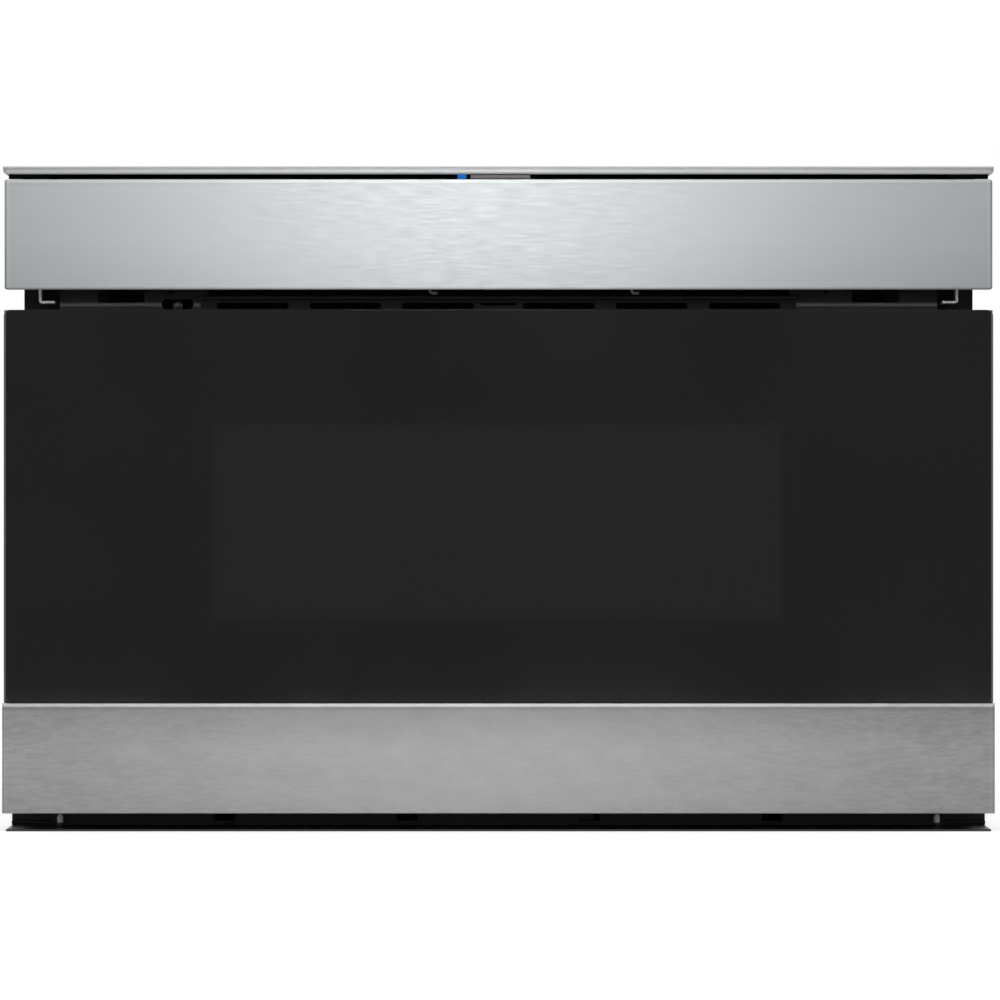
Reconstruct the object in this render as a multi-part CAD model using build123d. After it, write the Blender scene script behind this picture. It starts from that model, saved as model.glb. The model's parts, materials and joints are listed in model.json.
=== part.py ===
from build123d import *
import math
import os

# Built-in microwave drawer. Millimetres. The front faces -Y, X is the width, Z is up.
# The origin is the middle of the floor under the whole part.

# ---------------------------------------------------------------- overall
FRONT_WIDTH = 607.0  # across the lower trim
FRONT_HALF = FRONT_WIDTH / 2
TOTAL_DEPTH = 634.0  # door glass to the end of the cord gland
FRONT_PROJECTION = 50.0  # door glass ahead of the mounting flange
CASE_INSET = 25.5
CASE_WIDTH = FRONT_WIDTH - 2 * CASE_INSET
CASE_HALF = CASE_WIDTH / 2
GLAND_PROUD = 6.0  # cord gland beyond the back panel

# heights of the front, from the floor up
FLOOR_GAP = 11.0
LOWER_TRIM_HEIGHT = 67.4
TRIM_GLASS_GAP = 0.6
GLASS_HEIGHT = 240.0
DOOR_PANEL_GAP = 12.4
PANEL_HEIGHT = 67.3
PANEL_TOP_GAP = 3.1
CAP_HEIGHT = 4.9
TRIM_BOTTOM = FLOOR_GAP
TRIM_TOP = TRIM_BOTTOM + LOWER_TRIM_HEIGHT
GLASS_BOTTOM = TRIM_TOP + TRIM_GLASS_GAP
GLASS_TOP = GLASS_BOTTOM + GLASS_HEIGHT
PANEL_BOTTOM = GLASS_TOP + DOOR_PANEL_GAP
PANEL_TOP = PANEL_BOTTOM + PANEL_HEIGHT
CAP_BOTTOM = PANEL_TOP + PANEL_TOP_GAP
CAP_TOP = CAP_BOTTOM + CAP_HEIGHT

# sheets, walls and clearances
CASE_SHEET = 1.0
FRAME_SHEET = 1.2
CAVITY_SHEET = 1.0
TRIM_SHEET = 0.9
BRACKET_SHEET = 2.0
PIN_CLEARANCE = 0.05  # radial, of a pin that turns in its hole
SEAT_GAP = 0.3  # between a moving piece and the thing that carries or stops it
SIDE_CLEARANCE = 0.4  # beside a sliding piece

# ---------------------------------------------------------------- case and frame
CASE_UNDER_CAP = 29.8
CASE_HEIGHT = CAP_BOTTOM - CASE_UNDER_CAP
FLANGE_INSET = 9.5
FLANGE_WIDTH = FRONT_WIDTH - 2 * FLANGE_INSET
FLANGE_HALF = FLANGE_WIDTH / 2
FLANGE_BOTTOM = 4.0
LOWER_OPENING_HEIGHT = 62.0  # where the slides and the rack pass
CAP_SHELF_DEPTH = 10.0
MOUNT_HOLE_RADIUS = 2.5
MOUNT_HOLE_INSET = 8.0
MOUNT_HOLE_SPACING = FLANGE_WIDTH - 2 * MOUNT_HOLE_INSET
MOUNT_HOLE_LOW = GLASS_BOTTOM + 1.0
MOUNT_HOLE_RISE = 220.0
PAN_SIDE_HEIGHT = 56.0
INTAKE_SLOT_COUNT = 5
INTAKE_SLOT_LENGTH = 60.0
INTAKE_SLOT_WIDTH = 6.0
INTAKE_SLOT_PITCH = 90.0
INTAKE_FROM_BACK = (229.8, 199.8)

# openings that show in the gap over the door
SIDE_WINDOW_WIDTH = 29.0
SIDE_WINDOW_INSET = 60.0
SIDE_WINDOW_CENTRE = FLANGE_HALF - SIDE_WINDOW_INSET
SIDE_WINDOW_BOTTOM = GLASS_TOP + 6.1
SIDE_WINDOW_HEIGHT = 20.0
FOOT_NOTCH_WIDTH = 14.0
FOOT_NOTCH_INSET = 15.0
FOOT_NOTCH_CENTRE = FLANGE_HALF - FOOT_NOTCH_INSET
FOOT_NOTCH_BOTTOM = GLASS_TOP + 1.6
FOOT_NOTCH_HEIGHT = 14.0
LOCATING_SLOT_WIDTH = 20.0
LOCATING_SLOT_HEIGHT = 6.4
LOCATING_SLOT_INSET = 95.0
LOCATING_SLOT_X = LOCATING_SLOT_INSET - FLANGE_HALF
LOCATING_SLOT_Z = GLASS_TOP + 5.0
LOCATING_PIN_RADIUS = 1.4
LOCATING_TONGUE = 6.0
WIRE_HOLE_RADIUS = 1.2
WIRE_HOLE_INSET = 91.0
WIRE_HOLE_X = FLANGE_HALF - WIRE_HOLE_INSET
WIRE_HOLE_Z = GLASS_TOP + 12.8
BEAD_RADIUS = 1.1
BEAD_Z = GLASS_TOP + 4.6
BEAD_INSETS_RIGHT = (105.0, 24.0)
BEAD_INSETS_LEFT = (82.0, 24.0)

# vent grille and exhaust duct
GRILLE_INSET = 109.5
GRILLE_WIDTH = FLANGE_WIDTH - 2 * GRILLE_INSET
GRILLE_THICKNESS = 3.0
GRILLE_BOTTOM = GLASS_TOP - 6.0
GRILLE_OVERLAP = 4.5
OUTLET_WIDTH = GRILLE_WIDTH - 2 * GRILLE_OVERLAP
OUTLET_BOTTOM = GRILLE_BOTTOM + GRILLE_OVERLAP
OUTLET_TOP = GLASS_TOP + 23.0
VENT_SLOT_LENGTH = 44.6
VENT_SLOT_HEIGHT = 3.8
VENT_SLOT_Z = GLASS_TOP + 4.0
VENT_SLOT_START_X = 37.4
VENT_SLOT_PITCH = 57.5
VENT_SLOT_COUNT = 3
CENTRE_SLOT_LENGTH = 21.0
CENTRE_SLOT_HEIGHT = 1.8
RAIL_RADIUS = 1.4
RAIL_Z = GLASS_TOP + 9.0
RAIL_PROUD = 1.0
TICK_COUNT = 7
TICK_PITCH = 51.5
TICK_WIDTH = 1.2
DUCT_DEPTH = 78.0
DUCT_WALL = 1.2
DUCT_PAST_OUTLET = 6.0
DUCT_WIDTH = OUTLET_WIDTH + 2 * DUCT_PAST_OUTLET
DUCT_TOP = OUTLET_TOP + 4.0
HOOK_X = (-41.0, 84.0)
HOOK_RADIUS = 0.9
HOOK_WIDTH = 6.0
HOOK_FORWARD = 3.2
HOOK_LOW_Z = OUTLET_TOP - 11.4
HOOK_ROOT_Z = OUTLET_TOP + 2 * HOOK_RADIUS

# toe rail in the gap under the lower trim
TOE_INSET = 2.0
TOE_WIDTH = FRONT_WIDTH - 2 * TOE_INSET
TOE_FRONT = 3.0  # its front edge behind the door glass
TOE_UPRIGHT = 47.0  # the same, of its upright
TOE_HEIGHT = 10.3
TOE_NOTCH_FLOOR = 4.1
TOE_LIP_DEPTH = 2.4
TOE_LIP_HEIGHT = 1.8
TOE_NOTCH_WIDTH = 12.4
TOE_NOTCH_PITCH = 113.0
TOE_NOTCH_COUNT = 4
TOE_END_NOTCH = 25.0
STOP_PIN_RADIUS = 1.9
STOP_PIN_INSET = 32.5
STOP_PIN_X = FRONT_HALF - STOP_PIN_INSET
STOP_PIN_HEIGHT = 8.6
STOP_PIN_BEHIND = 41.0

# ---------------------------------------------------------------- oven cavity
CAVITY_SIDE_SPACE = 52.0  # case to cavity
CAVITY_WIDTH = CASE_WIDTH - 2 * CAVITY_SIDE_SPACE
CAVITY_HALF = CAVITY_WIDTH / 2
CAVITY_FLOOR = 92.0
CAVITY_UNDER_GLASS_TOP = 31.0
CAVITY_TOP = GLASS_TOP - CAVITY_UNDER_GLASS_TOP
REAR_SPACE = 130.6  # cavity to back panel
LAMP_HOLE_RADIUS = 1.5
LAMP_HOLE_PITCH = 6.0
LAMP_HOLE_COLUMN_COUNT = 5
LAMP_HOLE_ROW_COUNT = 4
LAMP_INSET = 76.0
LAMP_X = CAVITY_HALF - LAMP_INSET
LAMP_Z = CAVITY_TOP - 34.0
STEAM_HOLE_RADIUS = 2.0
STEAM_HOLE_COUNT = 16
STEAM_HOLE_PITCH = 20.0
STEAM_ROW_INSET = (30.0, 42.0)

# ---------------------------------------------------------------- door
GLASS_THICKNESS = 5.0
GLASS_CORNER_RADIUS = 2.5
DOOR_DEPTH = 46.2  # door glass to the door's rear plate
CHOKE_THICKNESS = 3.0
DOOR_EDGE_SHEET = 1.4
DOOR_INSET = 0.9
DOOR_WIDTH = FRONT_WIDTH - 2 * DOOR_INSET
DOOR_BOTTOM_INSET = 3.0
WINDOW_INSET = 128.6
WINDOW_WIDTH = DOOR_WIDTH - 2 * WINDOW_INSET
WINDOW_BOTTOM = GLASS_BOTTOM + 51.5
WINDOW_TOP_INSET = 70.0
WINDOW_HEIGHT = GLASS_TOP - WINDOW_TOP_INSET - WINDOW_BOTTOM
SCREEN_SETBACK = 7.0  # door screen behind the glass
SCREEN_SHEET = 0.8
SCREEN_HOLE_RADIUS = 3.2
SCREEN_HOLE_PITCH = 14.0
SCREEN_MARGIN = 9.0
SCREEN_COLUMN_COUNT = int((WINDOW_WIDTH - 2 * SCREEN_MARGIN) / SCREEN_HOLE_PITCH)
SCREEN_ROW_COUNT = int((WINDOW_HEIGHT - 2 * SCREEN_MARGIN) / SCREEN_HOLE_PITCH)
INNER_WINDOW_THICKNESS = 3.0
CHOKE_SIDE = 34.0
CHOKE_LOWER = 15.0
CHOKE_UPPER = 6.5
CHOKE_INNER_GAP = 2.0
TRIM_SIDE_DEPTH = 30.0
TRIM_CORNER_RADIUS = 0.6
BUMPER_RADIUS = 5.0
BUMPER_INSET = 19.5
BUMPER_X = FRONT_HALF - BUMPER_INSET
BUMPER_Z = (CAVITY_FLOOR + 28.0, CAVITY_TOP - 26.0)

# drawer tub
TUB_SIDE_GAP = 6.0
TUB_FLOOR_GAP = 5.0
TUB_SHEET = 1.0
TUB_HEADROOM = 36.0
TUB_BACK_GAP = 30.0
TUB_HEM = 2.5
FLOOR_PLATE_THICKNESS = 5.0
FLOOR_PLATE_GAP = 1.0

# ---------------------------------------------------------------- slides
SLIDE_PAST_TUB = 60.0  # slide length beyond the tub's depth
SLIDE_SETBACK = 5.0  # slide ends behind the mounting flange
SLIDE_HEIGHT = 46.0
SLIDE_BOTTOM = 9.0
SLIDE_SHEET = 1.2
SLIDE_WIDTH = 12.7
OUTER_FLANGE = 6.4
MIDDLE_START = 2.6
MIDDLE_WEB = 6.0
MIDDLE_END = 11.0
INNER_START = 8.4
BALL_RACE = 3.4
BALL_CLEARANCE = 0.05
BALL_COUNT = 6
BALL_PITCH = 50.0
CAGE_SHEET = 0.5
CAGE_FRONT_SETBACK = 100.0
CAGE_END = 8.0
TRAVEL_SHORT_OF_TUB = 45.0  # the drawer stops before its tub is all out

# carriers under the drawer
DOOR_BRACKET_REACH = 80.0
DOOR_BRACKET_WIDTH = 28.0
DOOR_BRACKET_BOTTOM = 16.0
DOOR_BRACKET_TOP = 58.0
CROSSBAR_DEPTH = 20.0
CROSSBAR_HEIGHT = 12.0
CROSSBAR_CLEAR_OF_MOTOR = 8.0
CROSSBAR_FOOT_DEPTH = 30.0

# ---------------------------------------------------------------- drawer drive
PRESSURE_ANGLE = 25.0
RACK_MODULE = 1.5
PINION_TEETH = 16
ADDENDUM_RATIO = 0.85  # in modules
DEDENDUM_RATIO = 1.1
FLANK_STEP_COUNT = 5
RACK_BACKLASH = 0.12
RACK_PITCH_Z = 44.0
RACK_WIDTH = 18.0
RACK_TOP = 56.0
RACK_FOOT_WIDTH = 28.0
RACK_FOOT_DROP = 10.0
RACK_FOOT_RISE = 5.0
RACK_LEAD_TEETH = 1.5  # teeth in front of the pinion while the drawer is closed
PINION_WIDTH = 14.0
PINION_BEHIND_FLANGE = 22.0
PINION_SHAFT_RADIUS = 3.0
GUIDE_SHEET = 2.0
GUIDE_DEPTH = 16.0
GEARBOX_WIDTH = 48.0
GEARBOX_DEPTH = 34.0
GEARBOX_TOP = 40.0
DRIVE_CAN_RADIUS = 14.0
DRIVE_CAN_LENGTH = 52.0

# ---------------------------------------------------------------- tilting control panel
PANEL_INSET = 1.5
PANEL_WIDTH = FRONT_WIDTH - 2 * PANEL_INSET
PANEL_SHEET = 1.2
PANEL_CORNER_RADIUS = 1.6
PANEL_SIDE_DEPTH = 24.0
PANEL_TOP_FOLD = 5.0
PANEL_BOTTOM_FOLD = 4.0
PIVOT_BEHIND = 26.0  # pivot behind the panel's face
PIVOT_HEIGHT = 30.0  # pivot over the panel's lower edge
TOUCH_GLASS_THICKNESS = 3.0
TOUCH_GLASS_END = 37.5  # its rear edge behind the panel's face
TOUCH_GLASS_GAP = 0.2
HOUSING_INSET = 36.0
HOUSING_WIDTH = PANEL_WIDTH - 2 * HOUSING_INSET
HOUSING_WALL = 2.0
HOUSING_BOTTOM = 3.0
HOUSING_TOP_DEPTH = 36.5
HOUSING_REAR = 17.0  # rear wall behind the pivot
HOUSING_BELLY = 16.0  # lower rear corner under the pivot
HOUSING_BELLY_BEHIND = 8.0
HOUSING_FLOOR_AHEAD = 11.3  # rear end of its floor, ahead of the pivot
HOUSING_REAR_LOW = 3.0  # lower end of its rear wall, under the pivot
HOUSING_REAR_HIGH = 6.0
HOUSING_SHOULDER = 23.0  # lower end of the wall behind the glass, over the pivot
BOSS_RADIUS = 6.0
HINGE_PIN_RADIUS = 2.95
HINGE_PIN_HEAD_RADIUS = 5.0
HINGE_PIN_HEAD = 1.5
HINGE_PIN_REACH = 14.0
DISPLAY_WIDTH = 120.0
DISPLAY_DEPTH = 18.0
DISPLAY_HEIGHT = 7.0
BOARD_THICKNESS = 1.6
BOARD_INSET = 66.0
BOARD_WIDTH = HOUSING_WIDTH - 2 * BOARD_INSET
BOARD_DEPTH = 22.0
BOARD_FRONT = 8.0
POST_RADIUS = 3.0
POST_X = (70.0, 190.0)
POST_AHEAD = 5.5  # of the board's middle

# hinge brackets
HINGE_SHEET = 1.6
HINGE_INSET = 19.9
HINGE_WEB_OUTER = FRONT_HALF - HINGE_INSET
HINGE_FOOT_WIDTH = 9.7
HINGE_FOOT_Z = GLASS_TOP + 5.0
HINGE_FOOT_BEHIND = 33.0
HINGE_TOP_Z = PANEL_TOP - 7.7
HINGE_EAR_RADIUS = 8.0
HINGE_EAR_DROP = 16.0  # its straight front edge starts so far under the pivot
HINGE_BEND_RADIUS = 1.6
HINGE_TAB_WIDTH = 8.4
HINGE_TAB_BOTTOM = PANEL_BOTTOM + 13.6
HINGE_SCREW_INSET = 8.0
HINGE_SCREW_FROM_WEB = 4.4

# tilt drive
TILT_MODULE = 0.8
SECTOR_TEETH = 40
TILT_PINION_TEETH = 10
TILT_BACKLASH = 0.08
SECTOR_THICKNESS = 5.0
SECTOR_HUB_RADIUS = 9.0
MESH_ANGLE = -45.0  # from the pivot towards the pinion, 0 pointing to the back
SECTOR_START_ANGLE = -97.0
SECTOR_END_ANGLE = -38.0
TILT_SHAFT_RADIUS = 1.5
TILT_MOTOR_SIZE = 12.0
TILT_MOTOR_LENGTH = 14.0
TILT_MOTOR_BORE_DEPTH = 9.0
TILT_MOTOR_CORNER = 1.5

# ---------------------------------------------------------------- top cap with light and button
CAP_INSET = 0.5
CAP_WIDTH = FRONT_WIDTH - 2 * CAP_INSET
CAP_SHEET = 1.2
CAP_FRONT_RADIUS = 1.6
CAP_END_RADIUS = 2.6
CARRIER_INSET = 3.5
CARRIER_WIDTH = CAP_WIDTH - 2 * CARRIER_INSET
CARRIER_END_LENGTH = 24.0  # of the stops that close the gap's ends
CARRIER_END_DEPTH = 6.0
CARRIER_END_GAP = 0.5  # over the panel
CARRIER_END_DROP = PANEL_TOP_GAP - CARRIER_END_GAP
LED_LEFT = -25.1
LED_WIDTH = 5.5
LED_DEPTH = 7.0
LED_SETBACK = 0.8
LED_DROP = 2.6
BUTTON_LEFT = -17.2
BUTTON_WIDTH = 36.8
BUTTON_DEPTH = 2.6
BUTTON_HEIGHT = 2.5
BUTTON_SETBACK = 0.6
BUTTON_TOP_GAP = 0.2
BUTTON_TRAVEL = 1.5
STEM_WIDTH = 5.0
STEM_LENGTH = 8.0
STEM_HEIGHT = 1.8
STEM_SPACING = 20.0
STEM_POST = 2.4
STEM_POST_LENGTH = 3.0

# ---------------------------------------------------------------- latch
LATCH_OUTSET = 15.0
LATCH_X = CAVITY_HALF + LATCH_OUTSET
LATCH_THICKNESS = 4.0
LATCH_BOTTOM = CAVITY_TOP + 10.0
LATCH_HEIGHT = 12.0
LATCH_REACH = 20.0
LATCH_NOSE = 4.0
LATCH_SLOT_CLEARANCE = 3.0
SWITCH_WIDTH = 6.4
SWITCH_LENGTH = 20.0
SWITCH_HEIGHT = 11.0
SWITCH_SPACING = 7.0
LEFT_SWITCH_COUNT = 2
RIGHT_SWITCH_COUNT = 1
SHELF_GAP = 3.0
SHELF_DEPTH = 30.0
SHELF_SIDE = 32.0
SHELF_INWARD = 8.0
SWITCH_PIN_RADIUS = 1.0

# ---------------------------------------------------------------- microwave supply and air
GUIDE_WIDTH = 90.0
GUIDE_HEIGHT = 40.0
GUIDE_WALL = 1.2
STIRRER_AHEAD = 219.2  # of the cavity's back
FEED_RADIUS = 30.0
GUIDE_FRONT_PAST_FEED = 50.0
MAGNETRON_BEHIND = 54.0
GUIDE_PAST_MAGNETRON = 46.0
ANTENNA_RADIUS = 7.0
ANTENNA_HEIGHT = 22.0
ANTENNA_HOLE_GAP = 2.0
MAGNETRON_PLATE = (94.0, 80.0, 2.0)
FIN_COUNT = 9
FIN_PITCH = 5.0
FIN_SIZE = (70.0, 54.0, 0.8)
MAGNETRON_CORE_RADIUS = 18.0
YOKE_SHEET = 2.0
MAGNETRON_HEIGHT = 52.0
FILTER_BOX = (60.0, 46.0, 26.0)
STIRRER_SHAFT_RADIUS = 3.0
STIRRER_RADIUS = 75.0
STIRRER_ARM = 22.0
STIRRER_ARM_COUNT = 2
STIRRER_SHEET = 1.2
STIRRER_DROP = 12.0
STIRRER_HUB_RADIUS = 8.0
COVER_SIZE = 190.0
COVER_SHEET = 1.2
COVER_DROP = 25.0
COVER_POST_RADIUS = 4.0
COVER_POST_INSET = 7.0
STIRRER_MOTOR_RADIUS = 24.0
STIRRER_MOTOR_HEIGHT = 20.0
STIRRER_MOTOR_BORE = 14.0
STIRRER_MOTOR_EARS = 64.0
EAR_WIDTH = 10.0
EAR_SHEET = 1.2
TRANSFORMER_FROM_SIDE = 138.0
TRANSFORMER_FROM_BACK = 63.8
TRANSFORMER_CORE = (88.0, 56.0, 70.0)
TRANSFORMER_COIL = (54.0, 84.0, 46.0)
TRANSFORMER_BASE = (108.0, 74.0, 2.0)
COIL_RADIUS = 10.0
CAPACITOR_FROM_SIDE = 73.0
CAPACITOR_FROM_BACK = 59.8
CAPACITOR_SIZE = (34.0, 54.0)
CAPACITOR_HEIGHT = 84.0
TERMINAL_RADIUS = 3.0
TERMINAL_HEIGHT = 8.0
TERMINAL_SPREAD = 14.0
DIODE_FROM_SIDE = 128.0
DIODE_FROM_BACK = 47.8
DIODE_SIZE = (8.0, 24.0, 8.0)
DIODE_LUG_RADIUS = 5.0
DIODE_LUG_HEIGHT = 2.0
FAN_SIZE = 92.0
FAN_DEPTH = 38.0
FAN_FACE_X = -62.0
FAN_Z = CAVITY_TOP - 53.0
FAN_WALL_RADIUS = 43.5
FAN_BLADE_RADIUS = 42.0
FAN_HUB_RADIUS = 16.0
FAN_BLADE_ROOT = 12.0
FAN_BLADE_COUNT = 5
FAN_BLADE_THICKNESS = 1.6
FAN_BLADE_CHORD = 24.0
FAN_BLADE_ANGLE = 38.0
FAN_ROTOR_DEPTH = 24.0
FAN_SHAFT_RADIUS = 2.5
FAN_MOTOR_SIZE = 44.0
FAN_MOTOR_DEPTH = 30.0
FAN_ARM = 8.0
FAN_ARM_SHEET = 2.0
LAMP_HOLDER = (34.0, 16.0, 34.0)
LAMP_RADIUS = 11.0
LAMP_LENGTH = 22.0
POWER_BOARD = (118.0, 130.0)
POWER_BOARD_X = -150.0
POWER_BOARD_AHEAD = 89.2  # of the cavity's back
STANDOFF_RADIUS = 3.0
STANDOFF_HEIGHT = 7.0
STANDOFF_INSET = 6.0
RELAY_SIZE = (16.0, 22.0, 18.0)
RELAY_COUNT = 4
RELAY_PITCH = 26.0
RELAY_ROW_X = 29.5  # from the board's middle
CHOKE_COIL_X = -29.5
CHOKE_COIL_Y = 32.5
CHOKE_COIL_RADIUS = 15.0
CHOKE_COIL_HEIGHT = 20.0
GLAND_FROM_SIDE = 63.0
GLAND_X = GLAND_FROM_SIDE - CASE_HALF
GLAND_Z = 45.0
GLAND_RADIUS = 9.0
GLAND_BORE_RADIUS = 5.5
GLAND_FLANGE_RADIUS = 12.0
GLAND_INSIDE = 12.0
GLAND_FLANGE = 3.0

# back panel
BACK_SHEET = 1.2
LOUVRE_COUNT = 9
LOUVRE_LENGTH = 90.0
LOUVRE_WIDTH = 4.0
LOUVRE_PITCH = 10.0
LOUVRE_INSET = 128.0
LOUVRE_MIDDLE_X = CASE_HALF - LOUVRE_INSET
LOUVRE_BOTTOM = CASE_HEIGHT - 182.0
SCREW_HEAD_RADIUS = 4.0
SCREW_HEAD_HEIGHT = 2.2
SCREW_SHANK_RADIUS = 1.8
SCREW_INSET = 9.0
SCREW_ROW_LOW = 30.0
SCREW_ROWS = (SCREW_ROW_LOW, CASE_HEIGHT / 2, CASE_HEIGHT - SCREW_ROW_LOW)
SCREW_TOP_COUNT = 3
SCREW_TOP_PITCH = 140.0

# ---------------------------------------------------------------- places worked out from the sizes
FACE_Y = -TOTAL_DEPTH / 2
FLANGE_Y = FACE_Y + FRONT_PROJECTION
FRAME_BACK_Y = FLANGE_Y + FRAME_SHEET
PANEL_OUT_Y = TOTAL_DEPTH / 2 - GLAND_PROUD
CASE_BACK_Y = PANEL_OUT_Y - BACK_SHEET
DOOR_REAR_Y = FACE_Y + DOOR_DEPTH

CASE_INNER = CASE_HALF - CASE_SHEET
PAN_INNER = CASE_INNER - FRAME_SHEET
CAVITY_ROOF = CAVITY_TOP + CAVITY_SHEET
CAVITY_BACK_Y = CASE_BACK_Y - REAR_SPACE
CAVITY_REAR_FACE = CAVITY_BACK_Y + CAVITY_SHEET

TUB_HALF = CAVITY_HALF - TUB_SIDE_GAP
TUB_BOTTOM = CAVITY_FLOOR + TUB_FLOOR_GAP
TUB_TOP = CAVITY_TOP - TUB_HEADROOM
TUB_BACK_Y = CAVITY_BACK_Y - TUB_BACK_GAP
TUB_DEPTH = TUB_BACK_Y - DOOR_REAR_Y
DRAWER_TRAVEL = TUB_DEPTH - TRAVEL_SHORT_OF_TUB

SLIDE_FRONT_Y = FLANGE_Y + SLIDE_SETBACK
SLIDE_SPAN_Y = (SLIDE_FRONT_Y, SLIDE_FRONT_Y + TUB_DEPTH + SLIDE_PAST_TUB)
SLIDE_MIDDLE_Z = SLIDE_BOTTOM + SLIDE_HEIGHT / 2
SLIDE_INBOARD = PAN_INNER - SLIDE_WIDTH
OUTER_RACE = SLIDE_HEIGHT / 2 - SLIDE_SHEET
MIDDLE_HALF = OUTER_RACE - BALL_RACE
INNER_RACE = MIDDLE_HALF - SLIDE_SHEET
INNER_HALF = INNER_RACE - BALL_RACE
BALL_RADIUS = BALL_RACE / 2 - BALL_CLEARANCE

PINION_Y = FLANGE_Y + PINION_BEHIND_FLANGE
PINION_PITCH_RADIUS = RACK_MODULE * PINION_TEETH / 2
PINION_Z = RACK_PITCH_Z - PINION_PITCH_RADIUS
GEARBOX_BACK_Y = PINION_Y + GEARBOX_DEPTH / 2
CROSSBAR_FRONT_Y = GEARBOX_BACK_Y + CROSSBAR_CLEAR_OF_MOTOR + DRAWER_TRAVEL
CROSSBAR_BACK_Y = CROSSBAR_FRONT_Y + CROSSBAR_DEPTH

PIVOT_Y = FACE_Y + PIVOT_BEHIND
PIVOT_Z = PANEL_BOTTOM + PIVOT_HEIGHT
TILT_CENTRES = TILT_MODULE * (SECTOR_TEETH + TILT_PINION_TEETH) / 2
TILT_PINION_Y = PIVOT_Y + TILT_CENTRES * math.cos(math.radians(MESH_ANGLE))
TILT_PINION_Z = PIVOT_Z + TILT_CENTRES * math.sin(math.radians(MESH_ANGLE))
HINGE_WEB_INNER = HINGE_WEB_OUTER - HINGE_SHEET
BOSS_END = HINGE_WEB_INNER - SEAT_GAP
TOUCH_GLASS_BOTTOM = PANEL_TOP - TOUCH_GLASS_THICKNESS

MAGNETRON_Y = CAVITY_REAR_FACE + MAGNETRON_BEHIND
STIRRER_Y = CAVITY_BACK_Y - STIRRER_AHEAD
GUIDE_TOP = CAVITY_ROOF + GUIDE_HEIGHT
FAN_BACK_X = FAN_FACE_X - FAN_DEPTH


# ---------------------------------------------------------------- shapes
def wide(width):
    """The low and high ends of a size that is centred on zero."""
    return (-width / 2, width / 2)


def block(x, y, z):
    """A box between the low and high ends in X, Y and Z."""
    spans = (x, y, z)
    sizes = [high - low for low, high in spans]
    middles = [(low + high) / 2 for low, high in spans]
    return Pos(*middles) * Box(*sizes)


def rod_x(radius, x, y, z):
    """A round rod along X."""
    return Pos((x[0] + x[1]) / 2, y, z) * Rot(0, 90, 0) * Cylinder(radius, x[1] - x[0])


def rod_y(radius, x, y, z):
    """A round rod along Y."""
    return Pos(x, (y[0] + y[1]) / 2, z) * Rot(90, 0, 0) * Cylinder(radius, y[1] - y[0])


def rod_z(radius, x, y, z):
    """A round rod along Z."""
    return Pos(x, y, (z[0] + z[1]) / 2) * Cylinder(radius, z[1] - z[0])


def side_plate(points, x):
    """A plate of one Y-Z outline, between two X stations."""
    outline = Plane.YZ * make_face(Polyline(*points, close=True))
    return Pos(x[0], 0, 0) * extrude(outline, x[1] - x[0])


def front_plate(sketch, y):
    """A plate of one X-Z sketch, between two Y stations."""
    return Pos(0, y[1], 0) * extrude(Plane.XZ * sketch, y[1] - y[0])


def rounded_front(width, height, radius, x, z, y):
    """A plate that faces the front, with rounded corners, centred at x and z."""
    return front_plate(Pos(x, z) * RectangleRounded(width, height, radius), y)


def slot_front(length, height, x, z, y):
    """A cutter for a long slot with round ends that faces the front."""
    return front_plate(Pos(x, z) * SlotOverall(length, height), y)


def mirrored(solid):
    """The same piece on the other side of the middle plane."""
    return mirror(solid, about=Plane.YZ)


def on_both_sides(solid):
    """A left and a right piece."""
    return [mirrored(solid), solid]


def spaced(count, pitch):
    """Places of an evenly spaced row, centred on zero."""
    return [(index - (count - 1) / 2) * pitch for index in range(count)]


def fuse(pieces):
    """One solid out of touching or crossing pieces."""
    whole = pieces[0]
    for piece in pieces[1:]:
        whole = whole + piece
    return whole


def cut(solid, cutters):
    """A solid less each of the cutters."""
    for cutter in cutters:
        solid = solid - cutter
    return solid


def shell_box(x, y, z, wall, open_side=None):
    """A thin box. One side may be left open: its wall is cut away with the inside."""
    outer = block(x, y, z)
    spans = [[x[0] + wall, x[1] - wall], [y[0] + wall, y[1] - wall], [z[0] + wall, z[1] - wall]]
    if open_side is not None:
        axis, end = open_side
        spans[axis][end] = (x, y, z)[axis][end]
    return outer - block(*spans)


# ---------------------------------------------------------------- gear teeth
def involute(angle):
    """The involute function of an angle in radians."""
    return math.tan(angle) - angle


def tooth_flank(module, teeth, backlash):
    """One flank of a tooth that points along zero: (radius, half angle) from root to tip."""
    pitch = module * teeth / 2
    pressure = math.radians(PRESSURE_ANGLE)
    base = pitch * math.cos(pressure)
    tip = pitch + ADDENDUM_RATIO * module
    root = pitch - DEDENDUM_RATIO * module
    half_at_pitch = (math.pi * module / 2 - backlash) / 2 / pitch
    start = max(base, root)
    flank = []
    for step in range(FLANK_STEP_COUNT + 1):
        radius = start + (tip - start) * step / FLANK_STEP_COUNT
        angle = math.acos(min(1.0, base / radius))
        flank.append((radius, half_at_pitch + involute(pressure) - involute(angle)))
    if root < start:
        flank.insert(0, (root, flank[0][1]))
    return flank


def gear_outline(module, teeth, backlash, first_angle, count):
    """Points of a run of teeth, counted from the tooth at first_angle, in degrees."""
    flank = tooth_flank(module, teeth, backlash)
    points = []
    for index in range(count):
        middle = math.radians(first_angle + index * 360 / teeth)
        for radius, half in flank:
            points.append((radius * math.cos(middle - half), radius * math.sin(middle - half)))
        for radius, half in reversed(flank):
            points.append((radius * math.cos(middle + half), radius * math.sin(middle + half)))
    return points


def gear_plate(points, centre, x):
    """A plate of gear teeth around a Y-Z centre."""
    return side_plate([(centre[0] + u, centre[1] + w) for u, w in points], x)


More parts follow.
